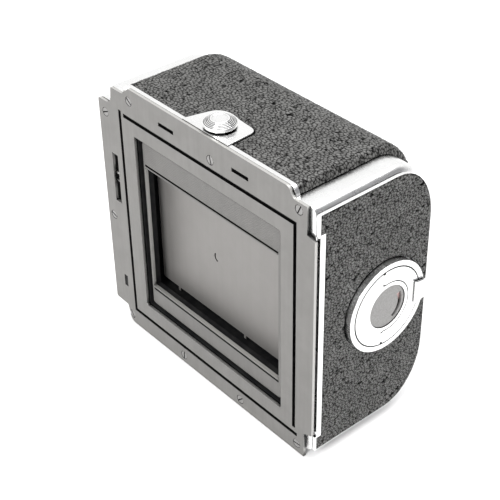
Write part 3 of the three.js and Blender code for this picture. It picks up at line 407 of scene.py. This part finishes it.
def red_glass():
    """Dark red glass with a painted reflection of the room: a pale pink patch in its upper half."""
    s = Shader("red_glass")
    low, high = span("peep_glass")
    height = s.axis_part(s.at, "Z")
    middle = AXIS_HEIGHT + (low.z + high.z) / 2
    # Painted reflection: dark red below, pale pink above the middle.
    tone = s.blend(height, middle - 1.5, middle + 0.8, (0.008, 0.003, 0.003), (0.85, 0.6, 0.58))
    dust = s.spread(s.noise(1.5, 5), 0.45, 0.75, 0.04, 0.16)
    return s.set(Base_Color=tone, Roughness=dust, Alpha=0.92, Specular_IOR_Level=0.5).material


def cover_grey():
    s = Shader("cover_grey")
    fine = s.noise(3.0, 4)
    tone = s.blend(fine, 0.3, 0.7, (0.24, 0.235, 0.23), (0.31, 0.305, 0.3))
    # Painted shade: near black in the cover's slot and gaps.
    tone = s.mix(s.crevice(0.6, 0.2, 0.6), BLACK_PAINT_AND_SHADE, tone)
    normal = s.bump(fine, 0.004, 0.5)
    return s.set(Base_Color=tone, Metallic=0.4, Roughness=0.45, Normal=normal).material


CHROME = satin_chrome()
# Three copies of turned chrome that differ only in how far their painted shade reaches into the
# gaps.
TURNED = turned_chrome("turned_chrome", 0.62)
KEY_CHROME = turned_chrome("key_chrome", 0.9)
RINGED = turned_chrome("ringed_chrome", 0.98)
PLATE_GREY = grey_coat("plate_grey", (0.16, 0.156, 0.149), (0.19, 0.185, 0.178))
MASK_GREY = grey_coat("mask_grey", (0.137, 0.133, 0.128), (0.16, 0.156, 0.149), grid=True)
PRESSURE_GREY = grey_coat(
    "pressure_grey", (0.207, 0.199, 0.191), (0.222, 0.214, 0.206), reach=0.3)
BLACK = black_paint()
STEEL = bare_steel()
SCREW = screw_grey()
BLUED = blued_steel()
GEAR = gear_steel()
PLASTIC = black_plastic()
WHITE = white_paint()
INK = black_ink()
FELT = felt()
CLEAR = clear_glass()
RED = red_glass()
COVER = cover_grey()
BODY_CELL = 0.95  # size of one pebble of the leather
SIDE_CELL = 0.82
BODY_LEATHER = leather("body_leather_grain", BODY_CELL)
SIDE_LEATHER = leather("side_leather_grain", SIDE_CELL)

# ---------------------------------------------------------------- CAD nodes that stay
FINISH = {
    CHROME: ["housing_shell", "crank_side_cover", "insert_end_plate", "catch_plate", "key_ring"],
    TURNED: ["counter_bezel", "crank_hub", "crank_arm"],
    KEY_CHROME: ["key_disc", "key_flap"],
    PLATE_GREY: ["front_plate"],
    MASK_GREY: ["gate_mask"],
    PRESSURE_GREY: ["pressure_plate"],
    COVER: ["peep_cover"],
    BLACK: [
        # The guide rollers are black as painted shade: they sit in the shade under the pressure
        # plate.
        "front_frame", "insert_carrier", "interlock_pin", "guide_roller_top",
        "guide_roller_bottom",
    ],
    BLUED: ["catch_bar"],
    GEAR: ["drive_gear", "idler_gear", "takeup_gear"],
    WHITE: ["counter_dial", "status_flag"],
    FELT: ["light_seal"],
    CLEAR: ["counter_window", "status_window"],
    RED: ["peep_glass"],
    SCREW: [f"plate_screw_{number}" for number in range(1, 10)],
    STEEL: [
        "drive_gear_post", "idler_post", "dial_post", "flag_post", "crank_shaft",
        "crank_arm_pin", "pressure_spring_left", "pressure_spring_right", "supply_pin_left",
        "supply_pin_right", "takeup_pin", "flap_pin_upper", "flap_pin_lower", "lock_cam",
    ],
}
BEVEL = 0.1
SMALL_BEVEL = 0.04
SMALL_NODES = {"key_flap", "peep_cover", "crank_arm", *FINISH[GEAR], *FINISH[SCREW]}
WELD_REACH = 0.0005
FLAT_DEG = 0.4  # facets that meet at less than this are one flat face
HARD_DEG = 32  # edges over this are rounded


def smooth(obj):
    obj.data.polygons.foreach_set("use_smooth", [True] * len(obj.data.polygons))
    if "custom_normal" in obj.data.attributes:
        obj.data.attributes.remove(obj.data.attributes["custom_normal"])


def soften(obj, width):
    """Joins the facets, rounds the hard edges and keeps flat faces flat, all as modifiers."""
    smooth(obj)
    weld = obj.modifiers.new("weld", "WELD")
    weld.merge_threshold = WELD_REACH * MM
    flat = obj.modifiers.new("flat", "DECIMATE")
    flat.decimate_type = "DISSOLVE"
    flat.angle_limit = math.radians(FLAT_DEG)
    bevel = obj.modifiers.new("bevel", "BEVEL")
    bevel.width = width * MM
    bevel.segments = 2
    bevel.limit_method = "ANGLE"
    bevel.angle_limit = math.radians(HARD_DEG)
    bevel.use_clamp_overlap = True
    normals = obj.modifiers.new("normals", "WEIGHTED_NORMAL")
    normals.keep_sharp = True


def finish_cad_nodes():
    for material, names in FINISH.items():
        for name in names:
            obj = frame["nodes"][name]
            obj.material_slots[0].material = material
            soften(obj, SMALL_BEVEL if name in SMALL_NODES else BEVEL)


# ---------------------------------------------------------------- mesh helpers
def linked(name, data):
    """A new object in the scene."""
    obj = bpy.data.objects.new(name, data)
    bpy.context.scene.collection.objects.link(obj)
    return obj


def mesh_of(name, points, faces):
    """A new mesh from points in gate millimetres."""
    mesh = bpy.data.meshes.new(name)
    mesh.from_pydata([row(*point) for point in points], [], faces)
    return mesh


def recalculate(obj):
    """Turns all faces outwards."""
    work = bmesh.new()
    work.from_mesh(obj.data)
    bmesh.ops.recalc_face_normals(work, faces=work.faces)
    work.to_mesh(obj.data)
    work.free()


def add_mesh(name, points, faces, body, material):
    """A new piece that rides on a CAD body, with its faces pointing out."""
    mesh = mesh_of(name, points, faces)
    mesh.materials.append(material)
    mesh.validate()
    obj = linked(name, mesh)
    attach(obj, body)
    recalculate(obj)
    return obj


def turned(name, profile, axis, centre, body, material, sides=96):
    """A closed solid of revolution from (along, radius) points that start and end on the axis."""
    points, faces = [(profile[0][0], 0.0, 0.0)], []
    rings = profile[1:-1]
    for along, radius in rings:
        for side in range(sides):
            angle = 2 * math.pi * side / sides
            points.append((along, radius * math.cos(angle), radius * math.sin(angle)))
    points.append((profile[-1][0], 0.0, 0.0))
    last = len(points) - 1
    for side in range(sides):
        after = (side + 1) % sides
        faces.append((0, 1 + after, 1 + side))
        for ring in range(len(rings) - 1):
            low, high = 1 + ring * sides, 1 + (ring + 1) * sides
            faces.append((low + side, low + after, high + after, high + side))
        top = 1 + (len(rings) - 1) * sides
        faces.append((top + side, top + after, last))
    if axis == "X":
        placed = [(a + centre[0], u + centre[1], v + centre[2]) for a, u, v in points]
    else:
        placed = [(u + centre[0], v + centre[1], a + centre[2]) for a, u, v in points]
    return add_mesh(name, placed, faces, body, material)


def quadratic(a, b, c, steps=10):
    """A curve from a to c that leans towards b, without its first point."""
    chain = []
    for i in range(1, steps + 1):
        t = i / steps
        start, lean, stop = (1 - t) ** 2, 2 * t * (1 - t), t * t
        chain.append(tuple(start * a[k] + lean * b[k] + stop * c[k] for k in (0, 1)))
    return chain


def rounded(points, radius, steps=3, most=0.45):
    """The same open chain of 2-D points with each inner corner replaced by a short curve, which
    takes up at most the share `most` of either side."""
    chain = [points[0]]
    for before, corner, after in zip(points, points[1:], points[2:]):
        b, c, a = Vector(before), Vector(corner), Vector(after)
        start = c + (b - c).normalized() * min(radius, (b - c).length * most)
        stop = c + (a - c).normalized() * min(radius, (a - c).length * most)
        for step in range(steps + 1):
            t = step / steps
            point = start * (1 - t) ** 2 + c * 2 * t * (1 - t) + stop * t**2
            chain.append((point.x, point.y))
    chain.append(points[-1])
    return chain


def arc(centre, radius, from_deg, to_deg, step_mm):
    sweep = math.radians(to_deg - from_deg)
    steps = max(4, int(abs(sweep) * radius / step_mm))
    start = math.radians(from_deg)
    return [
        (centre[0] + radius * math.cos(start + sweep * i / steps),
         centre[1] + radius * math.sin(start + sweep * i / steps))
        for i in range(steps + 1)
    ]


def quarter(centre, deep, tall, from_deg, steps):
    """Points and outward normals along a quarter of an ellipse, turning clockwise."""
    chain = []
    for i in range(steps + 1):
        angle = math.radians(from_deg - 90 * i / steps)
        c, s = math.cos(angle), math.sin(angle)
        normal = Vector((c / deep, s / tall)).normalized()
        chain.append((centre[0] + deep * c, centre[1] + tall * s, normal.x, normal.y))
    return chain


def stepped(points, step_mm):
    """A closed loop with points added so that no side is longer than `step_mm`."""
    loop = []
    for a, b in zip(points, points[1:] + points[:1]):
        count = max(1, math.ceil(math.dist(a, b) / step_mm))
        for i in range(count):
            t = i / count
            loop.append((a[0] + (b[0] - a[0]) * t, a[1] + (b[1] - a[1]) * t))
    return loop


def inside(points, loop):
    """Even-odd test of many points against one closed loop."""
    result = np.zeros(len(points), bool)
    u, v = points[:, 0], points[:, 1]
    for (ax, ay), (bx, by) in zip(loop, loop[1:] + loop[:1]):
        if ay == by:
            continue
        crosses = (ay > v) != (by > v)
        result ^= crosses & (u < ax + (v - ay) * (bx - ax) / (by - ay))
    return result


def edge_distance(points, loops):
    """Distance from each point to the nearest side of the loops."""
    nearest = np.full(len(points), 1e9)
    for loop in loops:
        for a, b in zip(loop, loop[1:] + loop[:1]):
            a, b = np.array(a), np.array(b)
            along = b - a
            t = np.clip((points - a) @ along / max(along @ along, 1e-12), 0, 1)
            nearest = np.minimum(nearest, np.linalg.norm(points - a - t[:, None] * along, axis=1))
    return nearest


# ---------------------------------------------------------------- grained leather
ROW_GAP = 0.866  # rows of points, in steps, for nearly equal sides
SHAKE = 0.12  # how far each point moves off the grid, in steps
BORDER_CLEAR = 0.45  # the gap kept to the border, in steps
MERGE_REACH = 1e-7
PEBBLE_DEPTH = 0.28
EDGE_ROLL = 0.45  # width of the rolled edge
ROLL_DEPTH = 0.75  # its depth, as a share of its width
GRAIN_FADE = 0.5  # the grain fades out this close to the edge
CELL_DRAWS = 64  # the pattern of cells repeats after this many


def filled(outline, holes, step, seed):
    """Points and triangles that fill an outline round its holes; the border points come first."""
    corners = [outline, *holes]
    loops = [stepped(loop, step) for loop in corners]
    border, sides = [], []
    for loop in loops:
        first = len(border)
        border += loop
        sides += [(first + i, first + (i + 1) % len(loop)) for i in range(len(loop))]
    low, high = np.min(outline, axis=0), np.max(outline, axis=0)
    rows = np.arange(low[1], high[1], step * ROW_GAP)
    columns = np.arange(low[0], high[0], step)
    grid = np.array([(c + (r % 2) * step / 2, v) for r, v in enumerate(rows) for c in columns])
    shake = np.random.default_rng(seed).uniform(-SHAKE, SHAKE, grid.shape)
    grid = grid + shake * step
    keep = inside(grid, outline)
    for hole in holes:
        keep &= ~inside(grid, hole)
    grid = grid[keep]
    grid = grid[edge_distance(grid, corners) > step * BORDER_CLEAR]
    flat = [Vector(p) for p in border] + [Vector(p) for p in grid.tolist()]
    face = [list(range(len(loops[0])))]
    made = delaunay_2d_cdt(flat, sides, face, 1, MERGE_REACH, False)
    points = np.array([tuple(p) for p in made[0]])
    triangles = np.array([f for f in made[2] if len(f) == 3])
    middles = points[triangles].mean(axis=1)
    keep = inside(middles, loops[0])
    for loop in loops[1:]:
        keep &= ~inside(middles, loop)
    return points, triangles[keep], len(border), sides, corners


def pebbles(points, cell, seed):
    """Height from 0 in the creases to 1 on the pebbles of an uneven cell pattern."""
    size_spread, crease_width, lowest = 0.18, 0.5, 0.78
    u, v = points[:, 0] / cell, points[:, 1] / cell
    at = np.stack([
        0.8 * u + 0.25 * v + 0.16 * np.sin(1.9 * v),
        1.15 * v - 0.3 * u + 0.16 * np.sin(1.7 * u),
    ], 1)
    base = np.floor(at).astype(int)
    table = np.random.default_rng(seed).uniform(0, 1, (CELL_DRAWS, CELL_DRAWS, 4))
    first = np.full(len(at), 9.0)
    second = np.full(len(at), 9.0)
    lift = np.zeros(len(at))
    for du in (-1, 0, 1):
        for dv in (-1, 0, 1):
            cu, cv = base[:, 0] + du, base[:, 1] + dv
            draw = table[cu % CELL_DRAWS, cv % CELL_DRAWS]
            reach = np.hypot(cu + draw[:, 0] - at[:, 0], cv + draw[:, 1] - at[:, 1])
            reach = reach - size_spread * draw[:, 2]
            closer = reach < first
            second = np.where(closer, first, np.minimum(second, reach))
            lift = np.where(closer, draw[:, 3], lift)
            first = np.where(closer, reach, first)
    ridge = np.clip((second - first) / crease_width, 0, 1)
    return ridge * (1.6 - 0.6 * ridge) * (lowest + (1 - lowest) * lift)


def leather_panel(name, fill, place, back_place, cell, seed, body, material):
    """Closed panel: a grained face whose edges roll down, side walls, and a plain back."""
    points, triangles, border_count, sides, corners = fill
    height = pebbles(points, cell, seed)
    away = edge_distance(points, corners)
    away[:border_count] = 0
    fade = np.clip(away / GRAIN_FADE, 0, 1)
    bend = 1 - np.sqrt(1 - (1 - np.clip(away / EDGE_ROLL, 0, 1)) ** 2)
    sink = EDGE_ROLL * bend * ROLL_DEPTH + (1 - height) * PEBBLE_DEPTH * fade
    u, v = points[:, 0], points[:, 1]
    face = place(u, v, sink).tolist()
    count = len(face)
    back = back_place(u, v).tolist()
    faces = [tuple(t) for t in triangles.tolist()]
    faces += [(c + count, b + count, a + count) for a, b, c in triangles.tolist()]
    faces += [(a, b, b + count, a + count) for a, b in sides]
    obj = add_mesh(name + "_grained", face + back, faces, body, material)
    smooth(obj)
    store = obj.data.attributes.new("pebble", "FLOAT", "POINT")
    store.data.foreach_set("value", np.concatenate([height, np.zeros(count)]).astype(np.float32))
    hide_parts(name)


# ---------------------------------------------------------------- leather on the body
LIP_END = 2.4  # the leather starts behind the front plate's lip
BAND_DEEP = 16.4  # half axes of the elliptical corners, seen from the side
BAND_TALL = 21.8
CREST = 32.6  # half width of the flat part; the edges wrap down from here
RISE = 2.8  # how far the wrapped edges come down
SKIN = 0.75  # thickness
WRAP_DEG = 86.0
WRAP_ARC = 4.24  # length along the surface of a full quarter turn
TONGUE_LEFT = (-8.9, 0.95), (-7.0, 8.2)  # straight sides of the catch plate
TONGUE_RIGHT = (9.1, 8.8), (9.6, 0.95)
TONGUE_GAP = 0.25


def band_path():
    """The band's side view (top, corner, back, corner, bottom) by the length along it."""
    low, high = span("body_leather")
    middle = high.y - BAND_DEEP
    path = [(LIP_END, high.z, 0, 1)]
    path += quarter((middle, high.z - BAND_TALL), BAND_DEEP, BAND_TALL, 90, 90)
    path += quarter((middle, low.z + BAND_TALL), BAND_DEEP, BAND_TALL, 0, 90)
    path.append((LIP_END, low.z, 0, -1))
    path = np.array(path)
    runs = np.linalg.norm(np.diff(path[:, :2], axis=0), axis=1)
    lengths = np.concatenate([[0.0], np.cumsum(runs)])

    def at(s):
        return [np.interp(s, lengths, path[:, column]) for column in range(4)]

    return at, lengths[-1]


def line_at(line, y):
    """The x at which a line through two (x, y) points reaches y."""
    (x0, y0), (x1, y1) = line
    return x0 + (y - y0) * (x1 - x0) / (y1 - y0)


def tongue_edge(grow):
    """The catch plate's outline behind the lip, as (x, y) from left to right, grown a little."""
    left = (TONGUE_LEFT[1][0] - grow, TONGUE_LEFT[1][1])
    right = (TONGUE_RIGHT[0][0] + grow, TONGUE_RIGHT[0][1])
    nose, dip, shoulder = (-3.4, 11.9 + grow), (1.8, 11.5 + grow), (6.6, 11.2 + grow)
    chain = [(line_at(TONGUE_LEFT, LIP_END) - grow, LIP_END), left]
    chain += quadratic(left, (-6.4 - grow, 11.0 + grow), nose)
    chain += quadratic(nose, (-1.2, 12.3 + grow), dip)
    chain.append(shoulder)
    chain += quadratic(shoulder, (9.0 + grow, 11.1 + grow), right)
    chain.append((line_at(TONGUE_RIGHT, LIP_END) + grow, LIP_END))
    return chain


def body_leather(step):
    at, length = band_path()
    reach = CREST + WRAP_ARC * WRAP_DEG / 90
    notch = [(x, y - LIP_END) for x, y in tongue_edge(TONGUE_GAP)]
    outline = [(-reach, 0), *notch, (reach, 0), (reach, length), (-reach, length)]
    foot = span("body_leather")[1].x - CREST

    def surface(u, s, sink):
        y, z, ny, nz = at(s)
        turn = np.maximum(0.0, np.abs(u) - CREST) / WRAP_ARC * math.pi / 2
        out = (foot - sink) * np.sin(turn)
        drop = RISE - (RISE - sink) * np.cos(turn)
        x = np.copysign(np.minimum(np.abs(u), CREST) + out, u)
        return np.column_stack([x, y - ny * drop, z - nz * drop])

    leather_panel(
        "body_leather", filled(outline, [], step, 11), surface,
        lambda u, s: surface(u, s, SKIN), BODY_CELL, 21, "housing", BODY_LEATHER)


# ---------------------------------------------------------------- flat leather panels
KEY_CORNER_DEEP = 12.95  # half axes of the key side's elliptical corners
KEY_CORNER_TALL = 17.35
KEY_STEP_Y = 3.5  # the key side's front edge steps back here
KEY_STEP_TOP = 34.0
KEY_STEP_BOTTOM = -32.8
CRANK_CORNER = 11.4
HOLE_STEP = 0.4
HOLE_GAPS = {"key_ring": 0.25, "counter_bezel": 0.25, "status_window": 0.3, "crank_hub": 0.6}


def flat_panel(node, outline, holes, step, seed, body, outer):
    """A flat panel whose grained face is at x = `outer`, over the CAD node's back."""
    low, high = span(node)
    inner = low.x if outer == high.x else high.x
    inwards = math.copysign(1, inner - outer)

    def flat_at(x, y, z):
        return np.column_stack([np.broadcast_to(x, y.shape), y, z])

    leather_panel(
        node, filled(outline, holes, step, seed),
        lambda y, z, sink: flat_at(outer + inwards * sink, y, z),
        lambda y, z: flat_at(inner, y, z), SIDE_CELL, seed + 10, body, SIDE_LEATHER)


def hole_round(node):
    """A round hole in the (y, z) plane that clears a CAD node."""
    low, high = span(node)
    middle = (low + high) / 2
    radius = min(high.z - low.z, high.y - low.y) / 2 + HOLE_GAPS[node]
    return arc((middle.y, middle.z), radius, 0, 360, HOLE_STEP)[:-1]


def key_leather(step):
    low, high = span("key_side_leather")
    deep, tall = KEY_CORNER_DEEP, KEY_CORNER_TALL
    bottom = quarter((high.y - deep, low.z + tall), deep, tall, 0, 50)
    top = quarter((high.y - deep, high.z - tall), deep, tall, 90, 50)
    outline = [(KEY_STEP_Y, KEY_STEP_BOTTOM), (low.y, KEY_STEP_BOTTOM), (low.y, low.z)]
    outline += [spot[:2] for spot in reversed(bottom)]
    outline += [spot[:2] for spot in reversed(top)]
    outline += [(low.y, high.z), (low.y, KEY_STEP_TOP), (KEY_STEP_Y, KEY_STEP_TOP)]
    flat_panel("key_side_leather", outline, [hole_round("key_ring")], step, 12, "insert", high.x)


def crank_leather(step):
    low, high = span("crank_side_leather")
    r = CRANK_CORNER
    outline = [(low.y, low.z)]
    outline += arc((high.y - r, low.z + r), r, -90, 0, 0.5)
    outline += arc((high.y - r, high.z - r), r, 0, 90, 0.5)
    outline += [(low.y, high.z)]
    holes = [hole_round(node) for node in ("counter_bezel", "status_window", "crank_hub")]
    flat_panel("crank_side_leather", outline, holes, step, 13, "housing", low.x)


# ---------------------------------------------------------------- catch button
BUTTON_RINGS = 5
BUTTON_TOP = 2.7  # radius of the flat on top
BUTTON_FOOT = 0.95  # height of its plain foot
BUTTON_DISH = 0.18  # depth of the dished top


def catch_button():
    """The button: a plain foot, then rings that narrow towards a slightly dished top."""
    low, high = span("catch_button")
    centre = ((low.x + high.x) / 2, (low.y + high.y) / 2, 0)
    base = (high.x - low.x) / 2
    z, top = low.z, high.z
    climb = top - z - BUTTON_FOOT - 0.15
    step = (base - BUTTON_TOP) / BUTTON_RINGS
    profile = [(z, 0), (z, base - 0.2), (z + 0.25, base), (z + BUTTON_FOOT, base)]
    for ring in range(BUTTON_RINGS):
        r = base - step * ring
        h = z + BUTTON_FOOT + climb * (ring + 1) / BUTTON_RINGS
        profile += [(h, r - 0.06), (h, r - step * 0.72), (h - 0.12, r - step * 0.9)]
    profile += [(top, BUTTON_TOP - 0.08), (top, BUTTON_TOP - 0.5)]
    profile += [(top - BUTTON_DISH, BUTTON_TOP - 0.65), (top - BUTTON_DISH, 0)]
    obj = turned(
        "catch_button_turned", rounded(profile, 0.12), "Z", centre, "catch",
        RINGED)
    smooth(obj)
    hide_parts("catch_button")


# ---------------------------------------------------------------- counter dial numbers
FRAMES = 16
DIGIT_SIZE = 3.4
DIGIT_THICK = 0.02
DIGIT_LIFT = 0.03  # how far the digits stand off the dial
UPRIGHT = Matrix(((0, 0, -1, 0), (-1, 0, 0, 0), (0, 1, 0, 0), (0, 0, 0, 1)))  # text to -X face


def dial_numbers():
    """Frame numbers 1 to 16 round the dial's face, upright when they stand in the window."""
    low, high = span("counter_dial")
    centre = (low + high) / 2
    window = sum(span("counter_window"), Vector()) / 2
    out = Matrix.Translation((0, 0, (window.z - centre.z) * MM))
    place = Matrix.Translation(row(low.x - DIGIT_LIFT, centre.y, centre.z))
    work = bmesh.new()
    for index in range(FRAMES):
        text = bpy.data.curves.new("digits", "FONT")
        text.body = str(index + 1)
        text.size = DIGIT_SIZE * MM
        text.extrude = DIGIT_THICK * MM
        text.align_x = "CENTER"
        text.align_y = "CENTER"
        holder = linked("digits", text)
        bpy.context.view_layer.update()
        mesh = bpy.data.meshes.new_from_object(holder)
        turn = Matrix.Rotation(math.radians(360 / FRAMES * index), 4, "X")
        mesh.transform(place @ turn @ out @ UPRIGHT)
        work.from_mesh(mesh)
        bpy.data.objects.remove(holder)
        bpy.data.meshes.remove(mesh)
    mesh = bpy.data.meshes.new("dial_numbers")
    work.to_mesh(mesh)
    work.free()
    mesh.materials.append(INK)
    obj = linked("dial_numbers", mesh)
    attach(obj, "counter_dial")


# ---------------------------------------------------------------- coil springs
COIL_STEPS = 28  # per turn
WIRE_SIDES = 10


def coil(name, node, axis, turns, wire):
    """A coil of round wire (radius `wire`) in the box of a CAD spring."""
    low, high = span(node)
    middle = (low + high) / 2
    along = "XYZ".index(axis)
    u, v = [k for k in range(3) if k != along]
    radius = (high[u] - low[u]) / 2 - wire
    length = high[along] - low[along]
    count = turns * COIL_STEPS
    points, faces = [], []
    for i in range(count + 1):
        a = 2 * math.pi * i / COIL_STEPS
        for side in range(WIRE_SIDES):
            b = 2 * math.pi * side / WIRE_SIDES
            r = radius + wire * math.cos(b)
            point = [0.0, 0.0, 0.0]
            point[u] = middle[u] + r * math.cos(a)
            point[v] = middle[v] + r * math.sin(a)
            rise = (length - 2 * wire) * i / count
            point[along] = low[along] + wire + rise + wire * math.sin(b)
            points.append(tuple(point))
        if i:
            for side in range(WIRE_SIDES):
                after = (side + 1) % WIRE_SIDES
                here, there = i * WIRE_SIDES, (i - 1) * WIRE_SIDES
                faces.append((there + side, there + after, here + after, here + side))
    faces.append(tuple(range(WIRE_SIDES)))
    faces.append(tuple(count * WIRE_SIDES + side for side in reversed(range(WIRE_SIDES))))
    obj = add_mesh(name, points, faces, "housing", STEEL)
    smooth(obj)
    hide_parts(node)
    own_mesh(obj)


# ---------------------------------------------------------------- spools
CORE_END = 4.6  # radius of the core outside the flanges
CORE = 6.0  # radius of the core between the flanges
FLANGE_OUT = 31.7
FLANGE_IN = 30.5
RIM_PROUD = 0.25
PIN_BORE = 2.35
FAR = 60  # past the end of any spool


def cutter(points, faces):
    obj = linked("cutter", mesh_of("cutter", points, faces))
    recalculate(obj)
    return obj


def block(x0, x1, y0, y1, z0, z1):
    points = [(x, y, z) for x in (x0, x1) for y in (y0, y1) for z in (z0, z1)]
    faces = [(0, 1, 3, 2), (4, 6, 7, 5), (0, 4, 5, 1), (2, 3, 7, 6), (0, 2, 6, 4), (1, 5, 7, 3)]
    return cutter(points, faces)


def rod(x0, x1, y, z, r, sides=40):
    turns = [2 * math.pi * i / sides for i in range(sides)]
    points = [(x, y + r * math.cos(a), z + r * math.sin(a)) for x in (x0, x1) for a in turns]
    faces = [(i, (i + 1) % sides, sides + (i + 1) % sides, sides + i) for i in range(sides)]
    faces += [tuple(reversed(range(sides))), tuple(range(sides, 2 * sides))]
    return cutter(points, faces)


def carve(obj, cutters):
    """Cuts the cutters out of obj's mesh and deletes them."""
    for tool in cutters:
        step = obj.modifiers.new("cut", "BOOLEAN")
        step.operation = "DIFFERENCE"
        step.solver = "EXACT"
        step.object = tool
    bpy.context.view_layer.update()
    result = obj.evaluated_get(bpy.context.evaluated_depsgraph_get())
    result = bpy.data.meshes.new_from_object(result)
    obj.modifiers.clear()
    old = obj.data
    obj.data = result
    bpy.data.meshes.remove(old)
    for tool in cutters:
        mesh = tool.data
        bpy.data.objects.remove(tool)
        bpy.data.meshes.remove(mesh)


def spool(node):
    """Film spool: a turned core and rimmed flanges, with a key slot, a film slot and two bores."""
    low, high = span(node)
    middle = (low + high) / 2
    end = high.x - middle.x
    rim = (high.z - low.z) / 2
    half = [
        (FLANGE_IN, CORE), (FLANGE_IN, rim), (FLANGE_OUT + RIM_PROUD, rim),
        (FLANGE_OUT + RIM_PROUD, rim - 0.7), (FLANGE_OUT, rim - 0.9), (FLANGE_OUT, CORE_END),
        (end, CORE_END), (end, 0),
    ]
    profile = [(-along, radius) for along, radius in reversed(half)] + half
    obj = turned(
        node + "_moulded", rounded(profile, 0.2), "X", tuple(middle), node,
        PLASTIC, 72)
    carve(obj, [
        block(-FAR, -29.6, middle.y - 4.0, middle.y + 4.0, middle.z - 0.95, middle.z + 0.95),
        block(-24, 24, middle.y - 8, middle.y + 8, middle.z - 0.6, middle.z + 0.6),
        rod(-FAR, -26, middle.y, middle.z, PIN_BORE),
        rod(26, FAR, middle.y, middle.z, PIN_BORE),
    ])
    soften(obj, 0.08)
    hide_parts(node)


# ---------------------------------------------------------------- stage
FLOOR_HALF = 3.0
DARK_WAY = (0.70, 0.54, 0.465)  # where the darker patch of the studio lies
DARK_TONE = (0.28, 0.28, 0.29, 1)
TARGET = (0, 0, 0.04)  # what the lights aim at
VIEW_AZIMUTH, VIEW_ELEVATION, VIEW_ROLL = 50.12, 35.72, -1.06
VIEW_FROM = (0.2164, -0.1873, 0.2436)
VIEW_LENS = 88.98


def floor():
    half = FLOOR_HALF
    mesh = bpy.data.meshes.new("floor")
    corners = [(-half, -half, 0), (half, -half, 0), (half, half, 0), (-half, half, 0)]
    mesh.from_pydata(corners, [], [(0, 1, 2, 3)])
    s = Shader("floor_white")
    tone = s.mix(s.noise(0.01, 2), grey(0.9), grey(0.93))
    mesh.materials.append(s.set(Base_Color=tone, Roughness=0.75).material)
    linked("floor", mesh)


def world():
    """An even white studio with one darker patch, so that chrome shows its form."""
    scene = bpy.context.scene
    scene.world = bpy.data.worlds.new("studio")
    scene.world.use_nodes = True
    tree = scene.world.node_tree
    background = tree.nodes["Background"]
    where = tree.nodes.new("ShaderNodeTexCoord").outputs["Generated"]
    aim = tree.nodes.new("ShaderNodeVectorMath")
    aim.operation = "DOT_PRODUCT"
    tree.links.new(where, aim.inputs[0])
    aim.inputs[1].default_value = Vector(DARK_WAY).normalized()
    ramp = tree.nodes.new("ShaderNodeValToRGB")
    tree.links.new(aim.outputs["Value"], ramp.inputs[0])
    white, dark = ramp.color_ramp.elements
    white.position, white.color = 0.70, (1, 1, 1, 1)
    dark.position, dark.color = 0.92, DARK_TONE
    tree.links.new(ramp.outputs[0], background.inputs["Color"])


def softbox(name, where, size, power):
    """A square lamp of `size` metres and `power` watts that faces the object."""
    light = bpy.data.lights.new(name, "AREA")
    light.shape = "SQUARE"
    light.size = size
    light.energy = power
    obj = linked(name, light)
    obj.location = where
    obj.rotation_mode = "QUATERNION"
    obj.rotation_quaternion = (Vector(TARGET) - Vector(where)).to_track_quat("-Z", "Y")


def camera():
    """The lens and place that the gate's known size gives for the reference view."""
    azimuth, elevation, roll = map(math.radians, (VIEW_AZIMUTH, VIEW_ELEVATION, VIEW_ROLL))
    level = Vector((math.cos(azimuth), math.sin(azimuth), 0))
    level_part = math.cos(elevation)
    back = Vector((
        math.sin(azimuth) * level_part, -math.cos(azimuth) * level_part, math.sin(elevation)))
    plumb = back.cross(level)
    right = level * math.cos(roll) + plumb * math.sin(roll)
    up = plumb * math.cos(roll) - level * math.sin(roll)
    data = bpy.data.cameras.new("camera")
    data.sensor_width = 36.0
    data.lens = VIEW_LENS
    data.clip_start = 0.01
    data.clip_end = 20.0
    obj = linked("camera", data)
    turn = Matrix((right, up, back)).transposed().to_4x4()
    obj.matrix_world = Matrix.Translation(VIEW_FROM) @ turn
    bpy.context.scene.camera = obj


# ---------------------------------------------------------------- build
BODY_GRAIN_STEP = 0.24
SIDE_GRAIN_STEP = BODY_GRAIN_STEP * 0.85

finish_cad_nodes()
body_leather(BODY_GRAIN_STEP)
key_leather(SIDE_GRAIN_STEP)
crank_leather(SIDE_GRAIN_STEP)
catch_button()
dial_numbers()
coil("catch_spring_coil", "catch_spring", "X", 9, 0.12)
coil("interlock_spring_coil", "interlock_spring", "Y", 8, 0.15)
spool("supply_spool")
spool("takeup_spool")

floor()
world()
softbox("key_light", (0.3, -1.0, 0.75), 0.5, 11.0)
softbox("top_light", (0.1, 0.25, 1.1), 0.9, 9.0)
camera()
bpy.context.scene.view_settings.view_transform = "Standard"
